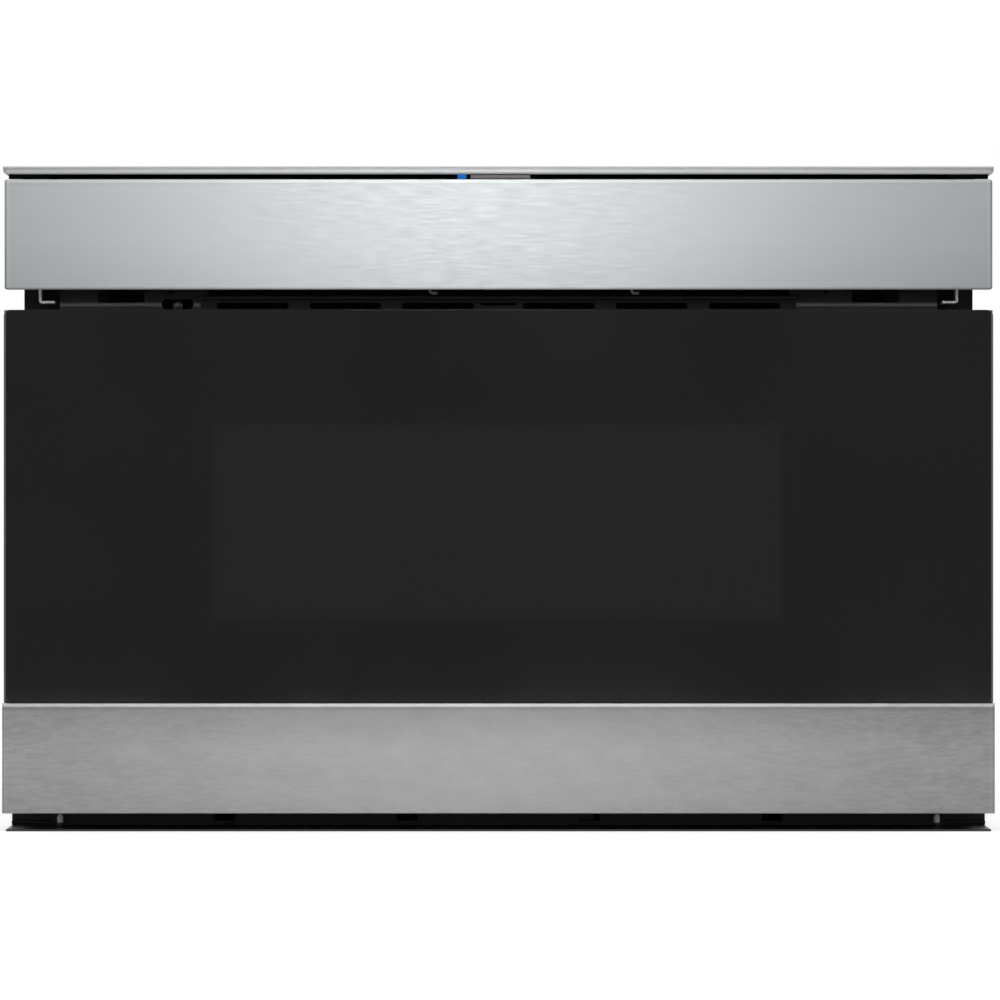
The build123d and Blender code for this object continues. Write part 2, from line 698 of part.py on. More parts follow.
# ---------------------------------------------------------------- case
def base_pan():
    floor = block(wide(2 * CASE_INNER), (FRAME_BACK_Y, CASE_BACK_Y), (0, FRAME_SHEET))
    side = block((PAN_INNER, CASE_INNER), (FRAME_BACK_Y, CASE_BACK_Y), (0, PAN_SIDE_HEIGHT))
    cutters = []
    for row_from_back in INTAKE_FROM_BACK:
        y = CASE_BACK_Y - row_from_back
        for x in spaced(INTAKE_SLOT_COUNT, INTAKE_SLOT_PITCH):
            slot = Pos(x, y) * SlotOverall(INTAKE_SLOT_LENGTH, INTAKE_SLOT_WIDTH)
            cutters.append(extrude(slot, FRAME_SHEET))
    return [cut(fuse([floor] + on_both_sides(side)), cutters)]


def toe_rail():
    half = TOE_WIDTH / 2
    upright_y = FACE_Y + TOE_UPRIGHT
    foot = block(wide(TOE_WIDTH), (FACE_Y + TOE_FRONT, FRAME_BACK_Y), (0, FRAME_SHEET))
    upright = block(wide(TOE_WIDTH), (upright_y, upright_y + FRAME_SHEET), (0, TOE_HEIGHT))
    notches = [(x, TOE_NOTCH_WIDTH) for x in spaced(TOE_NOTCH_COUNT, TOE_NOTCH_PITCH)]
    notches += [(side * (half - TOE_END_NOTCH / 2), TOE_END_NOTCH) for side in (-1, 1)]
    through = (upright_y, upright_y + FRAME_SHEET)
    lip_z = (TOE_NOTCH_FLOOR - TOE_LIP_HEIGHT, TOE_NOTCH_FLOOR)
    # a plate behind each end notch closes it against the frame, and laps the upright
    end_x = (half - TOE_END_NOTCH - FRAME_SHEET, half)
    ends = on_both_sides(block(end_x, (through[1], FLANGE_Y), (0, TOE_HEIGHT)))
    cutters = []
    lips = []
    for x, width in notches:
        span = (x - width / 2, x + width / 2)
        cutters.append(block(span, through, (TOE_NOTCH_FLOOR, TOE_HEIGHT)))
        lips.append(block(span, (upright_y - TOE_LIP_DEPTH, upright_y), lip_z))
    return [cut(fuse([foot, upright] + lips + ends), cutters)]


def stop_pins():
    y = FACE_Y + STOP_PIN_BEHIND
    pins = []
    for x in (-STOP_PIN_X, STOP_PIN_X):
        neck = STOP_PIN_HEIGHT - STOP_PIN_RADIUS
        shank = rod_z(STOP_PIN_RADIUS, x, y, (FRAME_SHEET, neck))
        dome = Pos(x, y, neck) * Sphere(STOP_PIN_RADIUS)
        pins.append(shank + dome)
    return pins


def front_frame():
    top = CAP_BOTTOM
    y = (FLANGE_Y, FRAME_BACK_Y)
    sheet = block(wide(FLANGE_WIDTH), y, (FLANGE_BOTTOM, top))
    shelf_y = (FLANGE_Y - CAP_SHELF_DEPTH, FRAME_BACK_Y)
    shelf = block(wide(FLANGE_WIDTH), shelf_y, (top - FRAME_SHEET, top))
    right = tuple(FLANGE_HALF - inset for inset in BEAD_INSETS_RIGHT)
    left = tuple(inset - FLANGE_HALF for inset in reversed(BEAD_INSETS_LEFT))
    beads = [
        rod_x(BEAD_RADIUS, right, FLANGE_Y, BEAD_Z),
        rod_x(BEAD_RADIUS, left, FLANGE_Y, BEAD_Z),
    ]
    whole = fuse([sheet, shelf] + beads)
    through = (FLANGE_Y, FRAME_BACK_Y + BEAD_RADIUS)
    behind = (FRAME_BACK_Y, FRAME_BACK_Y + BEAD_RADIUS)
    cutters = [
        block(wide(CAVITY_WIDTH), through, (CAVITY_FLOOR, CAVITY_TOP)),
        block(wide(2 * CASE_INNER), through, (FLANGE_BOTTOM, LOWER_OPENING_HEIGHT)),
        block(wide(OUTLET_WIDTH), through, (OUTLET_BOTTOM, OUTLET_TOP)),
        block(wide(FLANGE_WIDTH), behind, (BEAD_Z - BEAD_RADIUS, BEAD_Z + BEAD_RADIUS)),
        slot_front(LOCATING_SLOT_WIDTH, LOCATING_SLOT_HEIGHT, LOCATING_SLOT_X, LOCATING_SLOT_Z, through),
    ]
    window_z = SIDE_WINDOW_BOTTOM + SIDE_WINDOW_HEIGHT / 2
    notch_z = FOOT_NOTCH_BOTTOM + FOOT_NOTCH_HEIGHT / 2
    latch_z = LATCH_BOTTOM + LATCH_HEIGHT / 2
    latch_width = LATCH_THICKNESS + 2 * LATCH_SLOT_CLEARANCE
    latch_height = LATCH_HEIGHT + 2 * LATCH_SLOT_CLEARANCE
    corner = FRAME_SHEET
    for side in (-1, 1):
        x = side * SIDE_WINDOW_CENTRE
        cutters.append(rounded_front(SIDE_WINDOW_WIDTH, SIDE_WINDOW_HEIGHT, corner, x, window_z, through))
        x = side * FOOT_NOTCH_CENTRE
        cutters.append(rounded_front(FOOT_NOTCH_WIDTH, FOOT_NOTCH_HEIGHT, corner, x, notch_z, through))
        x = side * LATCH_X
        cutters.append(rounded_front(latch_width, latch_height, corner, x, latch_z, through))
        cutters.append(rod_y(WIRE_HOLE_RADIUS, side * WIRE_HOLE_X, through, WIRE_HOLE_Z))
        for rise in (0, MOUNT_HOLE_RISE):
            x = side * MOUNT_HOLE_SPACING / 2
            cutters.append(rod_y(MOUNT_HOLE_RADIUS, x, through, MOUNT_HOLE_LOW + rise))
    return [cut(whole, cutters) + locating_tongue()]


def locating_tongue():
    """A tongue bent back from the small slot's lower edge, with its pin towards the front."""
    low = LOCATING_SLOT_Z - LOCATING_SLOT_HEIGHT / 2
    x = (LOCATING_SLOT_X - 2 * LOCATING_PIN_RADIUS, LOCATING_SLOT_X + 2 * LOCATING_PIN_RADIUS)
    end = FRAME_BACK_Y + LOCATING_TONGUE
    floor = block(x, (FLANGE_Y, end), (low - FRAME_SHEET, low))
    upright = block(x, (end - FRAME_SHEET, end), (low, LOCATING_SLOT_Z + LOCATING_PIN_RADIUS))
    pin = rod_y(LOCATING_PIN_RADIUS, LOCATING_SLOT_X, (FRAME_BACK_Y, end), LOCATING_SLOT_Z)
    return fuse([floor, upright, pin])


def outer_case():
    y = (FRAME_BACK_Y, CASE_BACK_Y)
    roof = block(wide(CASE_WIDTH), y, (CASE_HEIGHT - CASE_SHEET, CASE_HEIGHT))
    side = block((CASE_INNER, CASE_HALF), y, (0, CASE_HEIGHT))
    return [fuse([roof] + on_both_sides(side))]


def back_panel():
    sheet = block(wide(CASE_WIDTH), (CASE_BACK_Y, PANEL_OUT_Y), (0, CASE_HEIGHT))
    through = (CASE_BACK_Y, PANEL_OUT_Y)
    cutters = [rod_y(GLAND_RADIUS, GLAND_X, through, GLAND_Z)]
    for column in (-LOUVRE_MIDDLE_X, LOUVRE_MIDDLE_X):
        for row in range(LOUVRE_COUNT):
            z = LOUVRE_BOTTOM + row * LOUVRE_PITCH
            cutters.append(slot_front(LOUVRE_LENGTH, LOUVRE_WIDTH, column, z, through))
    for x, z in back_screw_places():
        cutters.append(rod_y(SCREW_SHANK_RADIUS, x, through, z))
    return [cut(sheet, cutters)]


def back_screw_places():
    """X and Z of the screws that hold the back panel."""
    edge = CASE_HALF - SCREW_INSET
    places = [(side * edge, z) for side in (-1, 1) for z in SCREW_ROWS]
    places += [(x, CASE_HEIGHT - SCREW_INSET) for x in spaced(SCREW_TOP_COUNT, SCREW_TOP_PITCH)]
    return places


def case_screws():
    """Back panel screws, and the screws of the hinge brackets' tabs."""
    screws = []
    for x, z in back_screw_places():
        head = rod_y(SCREW_HEAD_RADIUS, x, (PANEL_OUT_Y, PANEL_OUT_Y + SCREW_HEAD_HEIGHT), z)
        shank = rod_y(SCREW_SHANK_RADIUS - PIN_CLEARANCE, x, (CASE_BACK_Y, PANEL_OUT_Y), z)
        screws.append(head + shank)
    tab_y = FLANGE_Y - HINGE_SHEET
    for side in (-1, 1):
        for z in hinge_screw_heights():
            x = side * (HINGE_WEB_OUTER + HINGE_SCREW_FROM_WEB)
            screws.append(rod_y(SCREW_HEAD_RADIUS, x, (tab_y - SCREW_HEAD_HEIGHT, tab_y), z))
    return screws


def hinge_screw_heights():
    return (HINGE_TAB_BOTTOM + HINGE_SCREW_INSET, HINGE_TOP_Z - HINGE_SCREW_INSET)


def cord_gland():
    inside_y = (CASE_BACK_Y - GLAND_INSIDE, CASE_BACK_Y)
    barrel_y = (CASE_BACK_Y - GLAND_INSIDE, PANEL_OUT_Y + GLAND_PROUD)
    barrel = rod_y(GLAND_RADIUS - PIN_CLEARANCE, GLAND_X, barrel_y, GLAND_Z)
    collar_y = (PANEL_OUT_Y, PANEL_OUT_Y + GLAND_FLANGE)
    collar = rod_y(GLAND_FLANGE_RADIUS, GLAND_X, collar_y, GLAND_Z)
    nut_y = (inside_y[1] - GLAND_FLANGE, inside_y[1])
    nut = rod_y(GLAND_FLANGE_RADIUS, GLAND_X, nut_y, GLAND_Z)
    bore = rod_y(GLAND_BORE_RADIUS, GLAND_X, barrel_y, GLAND_Z)
    return [fuse([barrel, collar, nut]) - bore]


# ---------------------------------------------------------------- gap over the door
def vent_grille():
    y = (FLANGE_Y - GRILLE_THICKNESS, FLANGE_Y)
    plate = block(wide(GRILLE_WIDTH), y, (GRILLE_BOTTOM, RAIL_Z))
    rail_y = y[0] - RAIL_PROUD + RAIL_RADIUS
    rail = rod_x(RAIL_RADIUS, wide(GRILLE_WIDTH), rail_y, RAIL_Z)
    ridge = block(wide(GRILLE_WIDTH), (rail_y, FLANGE_Y), (RAIL_Z - RAIL_RADIUS, RAIL_Z + RAIL_RADIUS))
    ticks = []
    for x in spaced(TICK_COUNT, TICK_PITCH):
        span = (x - TICK_WIDTH / 2, x + TICK_WIDTH / 2)
        tick_z = (RAIL_Z, RAIL_Z + RAIL_RADIUS + RAIL_PROUD)
        ticks.append(block(span, (y[0], FLANGE_Y), tick_z))
    cutters = []
    for index in range(VENT_SLOT_COUNT):
        x = VENT_SLOT_START_X + index * VENT_SLOT_PITCH
        for side in (-1, 1):
            cutters.append(slot_front(VENT_SLOT_LENGTH, VENT_SLOT_HEIGHT, side * x, VENT_SLOT_Z, y))
    centre_z = VENT_SLOT_Z + (VENT_SLOT_HEIGHT - CENTRE_SLOT_HEIGHT) / 2
    cutters.append(slot_front(CENTRE_SLOT_LENGTH, CENTRE_SLOT_HEIGHT, 0, centre_z, y))
    return [cut(fuse([plate, ridge, rail] + ticks), cutters)]


def exhaust_duct():
    """A hood over the cavity's steam holes, open to the front and downwards."""
    x = wide(DUCT_WIDTH)
    y = (FRAME_BACK_Y, FRAME_BACK_Y + DUCT_DEPTH)
    z = (CAVITY_ROOF, DUCT_TOP)
    inside_x = wide(DUCT_WIDTH - 2 * DUCT_WALL)
    inside = block(inside_x, (y[0], y[1] - DUCT_WALL), (z[0], z[1] - DUCT_WALL))
    return [block(x, y, z) - inside]


def hook_clips():
    """Two small wire hooks that hang from the frame over the exhaust outlet."""
    y = FLANGE_Y - HOOK_FORWARD
    hooks = []
    for middle in HOOK_X:
        left, right = middle - HOOK_WIDTH / 2, middle + HOOK_WIDTH / 2
        pieces = [
            rod_y(HOOK_RADIUS, left, (y, FLANGE_Y), HOOK_ROOT_Z),
            rod_z(HOOK_RADIUS, left, y, (HOOK_LOW_Z, HOOK_ROOT_Z)),
            rod_x(HOOK_RADIUS, (left, right), y, HOOK_LOW_Z),
        ]
        for x, z in ((left, HOOK_ROOT_Z), (left, HOOK_LOW_Z), (right, HOOK_LOW_Z)):
            pieces.append(Pos(x, y, z) * Sphere(HOOK_RADIUS))
        hooks.append(fuse(pieces))
    return hooks


# ---------------------------------------------------------------- oven cavity
def oven_cavity():
    wall = CAVITY_SHEET
    x = wide(CAVITY_WIDTH + 2 * wall)
    y = (FRAME_BACK_Y, CAVITY_REAR_FACE)
    z = (CAVITY_FLOOR - wall, CAVITY_ROOF)
    inside = block(wide(CAVITY_WIDTH), (y[0], CAVITY_BACK_Y), (CAVITY_FLOOR, CAVITY_TOP))
    shell = block(x, y, z) - inside
    cutters = [rod_z(FEED_RADIUS, 0, STIRRER_Y, (CAVITY_TOP, CAVITY_ROOF))]
    for column in spaced(LAMP_HOLE_COLUMN_COUNT, LAMP_HOLE_PITCH):
        for row in spaced(LAMP_HOLE_ROW_COUNT, LAMP_HOLE_PITCH):
            hole_y = (CAVITY_BACK_Y, CAVITY_REAR_FACE)
            cutters.append(rod_y(LAMP_HOLE_RADIUS, LAMP_X + column, hole_y, LAMP_Z + row))
    roof_z = (CAVITY_TOP, CAVITY_ROOF)
    for inset in STEAM_ROW_INSET:
        for column in spaced(STEAM_HOLE_COUNT, STEAM_HOLE_PITCH):
            cutters.append(rod_z(STEAM_HOLE_RADIUS, column, FRAME_BACK_Y + inset, roof_z))
    return [cut(shell, cutters)]


# ---------------------------------------------------------------- door
def door_glass():
    width = DOOR_WIDTH - 2 * DOOR_EDGE_SHEET
    middle = (GLASS_BOTTOM + GLASS_TOP) / 2
    y = (FACE_Y, FACE_Y + GLASS_THICKNESS)
    return [rounded_front(width, GLASS_HEIGHT, GLASS_CORNER_RADIUS, 0, middle, y)]


def door_frame():
    """A hollow sheet-steel pan whose edges stand beside the glass, with a window tunnel."""
    bottom = TRIM_BOTTOM + DOOR_BOTTOM_INSET
    front_y = FACE_Y + GLASS_THICKNESS
    x = wide(DOOR_WIDTH)
    z = (bottom, GLASS_TOP)
    body = shell_box(x, (front_y, DOOR_REAR_Y), z, DOOR_EDGE_SHEET)
    half = DOOR_WIDTH / 2
    edge_z = (GLASS_BOTTOM, GLASS_TOP - GLASS_CORNER_RADIUS)
    edge = block((half - DOOR_EDGE_SHEET, half), (FACE_Y + TRIM_SHEET, front_y), edge_z)
    window_x = wide(WINDOW_WIDTH)
    window_z = (WINDOW_BOTTOM, WINDOW_BOTTOM + WINDOW_HEIGHT)
    wall = DOOR_EDGE_SHEET
    tunnel_z = (window_z[0] - wall, window_z[1] + wall)
    tunnel = block(wide(WINDOW_WIDTH + 2 * wall), (front_y, DOOR_REAR_Y), tunnel_z)
    hole = block(window_x, (front_y, DOOR_REAR_Y), window_z)
    return [fuse([body, tunnel] + on_both_sides(edge)) - hole]


def window_pane(front, thickness):
    """A pane that fills the door's window, so far behind the glass face."""
    z = (WINDOW_BOTTOM, WINDOW_BOTTOM + WINDOW_HEIGHT)
    return block(wide(WINDOW_WIDTH), (front, front + thickness), z)


def door_screen():
    front = FACE_Y + GLASS_THICKNESS + SCREEN_SETBACK
    middle = WINDOW_BOTTOM + WINDOW_HEIGHT / 2
    pane = window_pane(front, SCREEN_SHEET)
    with BuildSketch() as holes:
        counts = (SCREEN_COLUMN_COUNT, SCREEN_ROW_COUNT)
        with GridLocations(SCREEN_HOLE_PITCH, SCREEN_HOLE_PITCH, *counts):
            Circle(SCREEN_HOLE_RADIUS)
    return [pane - front_plate(Pos(0, middle) * holes.sketch, (front, front + SCREEN_SHEET))]


def inner_window():
    return [window_pane(DOOR_REAR_Y - INNER_WINDOW_THICKNESS, INNER_WINDOW_THICKNESS)]


def choke_cover():
    y = (DOOR_REAR_Y, DOOR_REAR_Y + CHOKE_THICKNESS)
    outer_x = wide(CAVITY_WIDTH + 2 * CHOKE_SIDE)
    outer_z = (CAVITY_FLOOR - CHOKE_LOWER, CAVITY_TOP + CHOKE_UPPER)
    inner_x = wide(2 * (TUB_HALF + CHOKE_INNER_GAP))
    inner_z = (TUB_BOTTOM - CHOKE_INNER_GAP, CAVITY_TOP - CHOKE_INNER_GAP)
    return [block(outer_x, y, outer_z) - block(inner_x, y, inner_z)]


def lower_trim():
    x = wide(FRONT_WIDTH)
    z = (TRIM_BOTTOM, TRIM_TOP)
    wall = TRIM_SHEET
    body = block(x, (FACE_Y, FACE_Y + GLASS_THICKNESS), z)
    body = fillet(body.edges().filter_by(Axis.X).group_by(Axis.Y)[0], TRIM_CORNER_RADIUS)
    inside_y = (FACE_Y + wall, FACE_Y + GLASS_THICKNESS)
    body = body - block(wide(FRONT_WIDTH - 2 * wall), inside_y, (z[0] + wall, z[1] - wall))
    half = FRONT_WIDTH / 2
    side_y = (FACE_Y + GLASS_THICKNESS, FACE_Y + TRIM_SIDE_DEPTH)
    return [fuse([body] + on_both_sides(block((half - wall, half), side_y, z)))]


def door_bumpers():
    y = (DOOR_REAR_Y, FLANGE_Y - SEAT_GAP)
    return [rod_y(BUMPER_RADIUS, side * BUMPER_X, y, z) for side in (-1, 1) for z in BUMPER_Z]


def drawer_tub():
    x = wide(2 * TUB_HALF)
    y = (DOOR_REAR_Y, TUB_BACK_Y)
    z = (TUB_BOTTOM, TUB_TOP)
    inside_x = wide(2 * (TUB_HALF - TUB_SHEET))
    shell = block(x, y, z) - block(inside_x, (y[0], y[1] - TUB_SHEET), (z[0] + TUB_SHEET, z[1]))
    hem_z = (z[1] - TUB_SHEET, z[1])
    # the hem starts behind the choke cover's plane
    hem_y = (DOOR_REAR_Y + CHOKE_THICKNESS, TUB_BACK_Y)
    hem = block((TUB_HALF, TUB_HALF + TUB_HEM), hem_y, hem_z)
    rear_hem = block(x, (TUB_BACK_Y, TUB_BACK_Y + TUB_HEM), hem_z)
    return [fuse([shell, rear_hem] + on_both_sides(hem))]


def floor_plate():
    gap = TUB_SHEET + FLOOR_PLATE_GAP
    x = wide(2 * (TUB_HALF - gap))
    y = (DOOR_REAR_Y + FLOOR_PLATE_GAP, TUB_BACK_Y - gap)
    bottom = TUB_BOTTOM + TUB_SHEET
    return [block(x, y, (bottom, bottom + FLOOR_PLATE_THICKNESS))]


# ---------------------------------------------------------------- slides of the drawer
def slide_station(inward):
    """X of a point of the right slide, measured inwards from the pan's side."""
    return PAN_INNER - inward


def slide_bar(start, end, low, high, y):
    """A bar of the right slide: stations inwards, heights from the slide's middle."""
    x = (slide_station(end), slide_station(start))
    return block(x, y, (SLIDE_MIDDLE_Z + low, SLIDE_MIDDLE_Z + high))


def flanged_member(web, flanges, half, y):
    """A web with an upper and a lower flange."""
    pieces = [slide_bar(web, web + SLIDE_SHEET, -half, half, y)]
    pieces.append(slide_bar(flanges[0], flanges[1], half - SLIDE_SHEET, half, y))
    pieces.append(slide_bar(flanges[0], flanges[1], -half, -half + SLIDE_SHEET, y))
    return fuse(pieces)


def slide_outers():
    right = flanged_member(0, (0, OUTER_FLANGE), SLIDE_HEIGHT / 2, SLIDE_SPAN_Y)
    return on_both_sides(right)


def slide_middles():
    right = flanged_member(MIDDLE_WEB, (MIDDLE_START, MIDDLE_END), MIDDLE_HALF, SLIDE_SPAN_Y)
    return on_both_sides(right)


def slide_inners():
    web = SLIDE_WIDTH - SLIDE_SHEET
    right = flanged_member(web, (INNER_START, SLIDE_WIDTH), INNER_HALF, SLIDE_SPAN_Y)
    return on_both_sides(right)


def ball_cage(spine, ball, race):
    """Two rows of balls in a bent strip: spine and ball are stations, race the outer height."""
    first = SLIDE_FRONT_Y + CAGE_FRONT_SETBACK
    run = (BALL_COUNT - 1) * BALL_PITCH
    y = (first - CAGE_END, first + run + CAGE_END)
    row = race - BALL_RACE / 2
    inner = row - CAGE_SHEET / 2
    outer = row + CAGE_SHEET / 2
    tip = ball + (ball - spine) / 2
    low, high = sorted((spine, tip))
    strip_low, strip_high = sorted((spine, spine + math.copysign(CAGE_SHEET, ball - spine)))
    bars = [slide_bar(strip_low, strip_high, -outer, outer, y)]
    bars.append(slide_bar(low, high, inner, outer, y))
    bars.append(slide_bar(low, high, -outer, -inner, y))
    strip = fuse(bars)
    x = slide_station(ball)
    pocket_radius = BALL_RADIUS + BALL_CLEARANCE
    balls = []
    for index in range(BALL_COUNT):
        ball_y = first + index * BALL_PITCH
        for side in (-1, 1):
            z = SLIDE_MIDDLE_Z + side * row
            pocket_z = (z - BALL_RACE / 2, z + BALL_RACE / 2)
            strip = strip - rod_z(pocket_radius, x, ball_y, pocket_z)
            balls.append(Pos(x, ball_y, z) * Sphere(BALL_RADIUS))
    right = [strip] + balls
    return [mirrored(piece) for piece in right] + right


def outer_ball_cages():
    spine = SLIDE_SHEET + SEAT_GAP
    ball = (MIDDLE_START + OUTER_FLANGE) / 2
    return ball_cage(spine, ball, OUTER_RACE)


def inner_ball_cages():
    spine = MIDDLE_WEB + SLIDE_SHEET + SEAT_GAP
    ball = (INNER_START + MIDDLE_END) / 2
    return ball_cage(spine, ball, INNER_RACE)


# ---------------------------------------------------------------- carriers and drive of the drawer
def door_brackets():
    inner = SLIDE_INBOARD - BRACKET_SHEET
    web_z = (SLIDE_MIDDLE_Z - INNER_HALF, SLIDE_MIDDLE_Z + INNER_HALF)
    web = block((inner, SLIDE_INBOARD), (DOOR_REAR_Y, DOOR_REAR_Y + DOOR_BRACKET_REACH), web_z)
    tab_x = (SLIDE_INBOARD - DOOR_BRACKET_WIDTH, SLIDE_INBOARD)
    tab_y = (DOOR_REAR_Y, DOOR_REAR_Y + BRACKET_SHEET)
    tab = block(tab_x, tab_y, (DOOR_BRACKET_BOTTOM, DOOR_BRACKET_TOP))
    return on_both_sides(web + tab)


def rear_crossbar():
    z = (RACK_TOP, RACK_TOP + CROSSBAR_HEIGHT)
    inner = SLIDE_INBOARD - BRACKET_SHEET
    bar = block(wide(2 * SLIDE_INBOARD), (CROSSBAR_FRONT_Y, CROSSBAR_BACK_Y), z)
    middle = (CROSSBAR_FRONT_Y + CROSSBAR_BACK_Y) / 2
    foot_y = (middle - CROSSBAR_FOOT_DEPTH / 2, middle + CROSSBAR_FOOT_DEPTH / 2)
    foot = block((inner, SLIDE_INBOARD), foot_y, (SLIDE_MIDDLE_Z - INNER_HALF, z[1]))
    hollow_z = (z[0], z[1] - BRACKET_SHEET)
    hollow_y = (CROSSBAR_FRONT_Y + BRACKET_SHEET, CROSSBAR_BACK_Y - BRACKET_SHEET)
    hollow = block((RACK_WIDTH, inner), hollow_y, hollow_z)
    return [cut(fuse([bar] + on_both_sides(foot)), on_both_sides(hollow))]


def drive_rack():
    pitch = math.pi * RACK_MODULE
    root = RACK_PITCH_Z + DEDENDUM_RATIO * RACK_MODULE
    tip = RACK_PITCH_Z - ADDENDUM_RATIO * RACK_MODULE
    slope = math.tan(math.radians(PRESSURE_ANGLE))
    half_pitch_width = (pitch / 2 - RACK_BACKLASH) / 2
    half_root = half_pitch_width + (root - RACK_PITCH_Z) * slope
    half_tip = half_pitch_width - (RACK_PITCH_Z - tip) * slope
    first = PINION_Y - pitch * RACK_LEAD_TEETH
    last = PINION_Y + DRAWER_TRAVEL + PINION_PITCH_RADIUS
    count = int((last - first) / pitch) + 1
    points = [(DOOR_REAR_Y, RACK_TOP), (DOOR_REAR_Y, root)]
    for index in range(count):
        y = first + index * pitch
        points += [(y - half_root, root), (y - half_tip, tip)]
        points += [(y + half_tip, tip), (y + half_root, root)]
    points += [(CROSSBAR_BACK_Y, root), (CROSSBAR_BACK_Y, RACK_TOP)]
    bar = side_plate(points, wide(RACK_WIDTH))
    foot_z = (RACK_TOP - RACK_FOOT_DROP, RACK_TOP + RACK_FOOT_RISE)
    foot = block(wide(RACK_FOOT_WIDTH), (DOOR_REAR_Y, DOOR_REAR_Y + BRACKET_SHEET), foot_z)
    return [bar + foot]


def drive_pinion():
    points = gear_outline(RACK_MODULE, PINION_TEETH, RACK_BACKLASH, 90, PINION_TEETH)
    gear = gear_plate(points, (PINION_Y, PINION_Z), wide(PINION_WIDTH))
    shaft_end = guide_outer() + GEARBOX_WIDTH / 2
    shaft = rod_x(PINION_SHAFT_RADIUS, (-guide_inner(), shaft_end), PINION_Y, PINION_Z)
    return [gear + shaft]


def guide_inner():
    return RACK_WIDTH / 2 + SIDE_CLEARANCE


def guide_outer():
    return guide_inner() + GUIDE_SHEET


def drive_motor():
    """A gearbox with its motor can, and the bent guide that holds the rack down on the pinion."""
    box_x = (guide_outer(), guide_outer() + GEARBOX_WIDTH)
    box_y = (PINION_Y - GEARBOX_DEPTH / 2, GEARBOX_BACK_Y)
    box = block(box_x, box_y, (FRAME_SHEET, GEARBOX_TOP))
    bore_end = guide_outer() + GEARBOX_WIDTH / 2 + SEAT_GAP
    bore_radius = PINION_SHAFT_RADIUS + PIN_CLEARANCE
    bore = rod_x(bore_radius, (box_x[0], bore_end), PINION_Y, PINION_Z)
    can_z = FRAME_SHEET + DRIVE_CAN_RADIUS + SEAT_GAP
    can = rod_x(DRIVE_CAN_RADIUS, (box_x[1], box_x[1] + DRIVE_CAN_LENGTH), PINION_Y, can_z)
    guide_y = (PINION_Y - GUIDE_DEPTH / 2, PINION_Y + GUIDE_DEPTH / 2)
    top = RACK_TOP + SIDE_CLEARANCE + GUIDE_SHEET
    guide = block(wide(2 * guide_outer()), guide_y, (FRAME_SHEET, top))
    guide = guide - block(wide(2 * guide_inner()), guide_y, (FRAME_SHEET, top - GUIDE_SHEET))
    shaft_hole = rod_x(bore_radius, (guide_inner(), guide_outer()), PINION_Y, PINION_Z)
    return [box - bore, can, guide - shaft_hole]


# ---------------------------------------------------------------- latch
def latch_hooks():
    half = LATCH_THICKNESS / 2
    top = LATCH_BOTTOM + LATCH_HEIGHT
    end = FLANGE_Y + LATCH_REACH
    nose = LATCH_NOSE
    points = [
        (DOOR_REAR_Y, LATCH_BOTTOM + nose),
        (end - nose, LATCH_BOTTOM + nose),
        (end - nose, LATCH_BOTTOM),
        (end, LATCH_BOTTOM + nose),
        (end, top - nose),
        (end - nose, top),
        (DOOR_REAR_Y, top),
    ]
    return on_both_sides(side_plate(points, (LATCH_X - half, LATCH_X + half)))


def interlock_switches():
    """Two brackets behind the frame. Each carries switches whose plungers face the latch hook."""
    shelf_bottom = LATCH_BOTTOM + LATCH_HEIGHT + SHELF_GAP
    shelf_z = (shelf_bottom, shelf_bottom + FRAME_SHEET)
    shelf_x = (LATCH_X - SHELF_INWARD, LATCH_X + SHELF_SIDE)
    shelf = block(shelf_x, (FRAME_BACK_Y, FRAME_BACK_Y + SHELF_DEPTH), shelf_z)
    switch_start = LATCH_X + LATCH_THICKNESS / 2 + 2 * SEAT_GAP + SWITCH_PIN_RADIUS
    pieces = []
    for switches_right, count in ((True, RIGHT_SWITCH_COUNT), (False, LEFT_SWITCH_COUNT)):
        side = [shelf]
        for index in range(count):
            start = switch_start + index * SWITCH_SPACING
            x = (start, start + SWITCH_WIDTH)
            y_low = FRAME_BACK_Y + SEAT_GAP
            z = (shelf_bottom - SWITCH_HEIGHT, shelf_bottom)
            side.append(block(x, (y_low, y_low + SWITCH_LENGTH), z))
        pieces += side if switches_right else [mirrored(piece) for piece in side]
    return pieces


# ---------------------------------------------------------------- control panel
def panel_front():
    """Folded stainless: a face with side, top and bottom folds."""
    x = wide(PANEL_WIDTH)
    z = (PANEL_BOTTOM, PANEL_TOP)
    middle = (z[0] + z[1]) / 2
    depth = (FACE_Y, FACE_Y + PANEL_SIDE_DEPTH)
    wall = PANEL_SHEET
    body = rounded_front(PANEL_WIDTH, PANEL_HEIGHT, PANEL_CORNER_RADIUS, 0, middle, depth)
    inner_x = wide(PANEL_WIDTH - 2 * wall)
    inside = block(inner_x, (depth[0] + wall, depth[1]), (z[0] + wall, z[1] - wall))
    top = block(x, (FACE_Y + PANEL_TOP_FOLD, depth[1]), (TOUCH_GLASS_BOTTOM, z[1]))
    bottom = block(inner_x, (FACE_Y + PANEL_BOTTOM_FOLD, depth[1]), (z[0], z[0] + wall))
    low_corner_z = (z[0], z[0] + PANEL_CORNER_RADIUS)
    low_corners = block(x, (FACE_Y + PANEL_BOTTOM_FOLD, depth[1]), low_corner_z)
    return [cut(body, [inside, top, bottom, low_corners])]


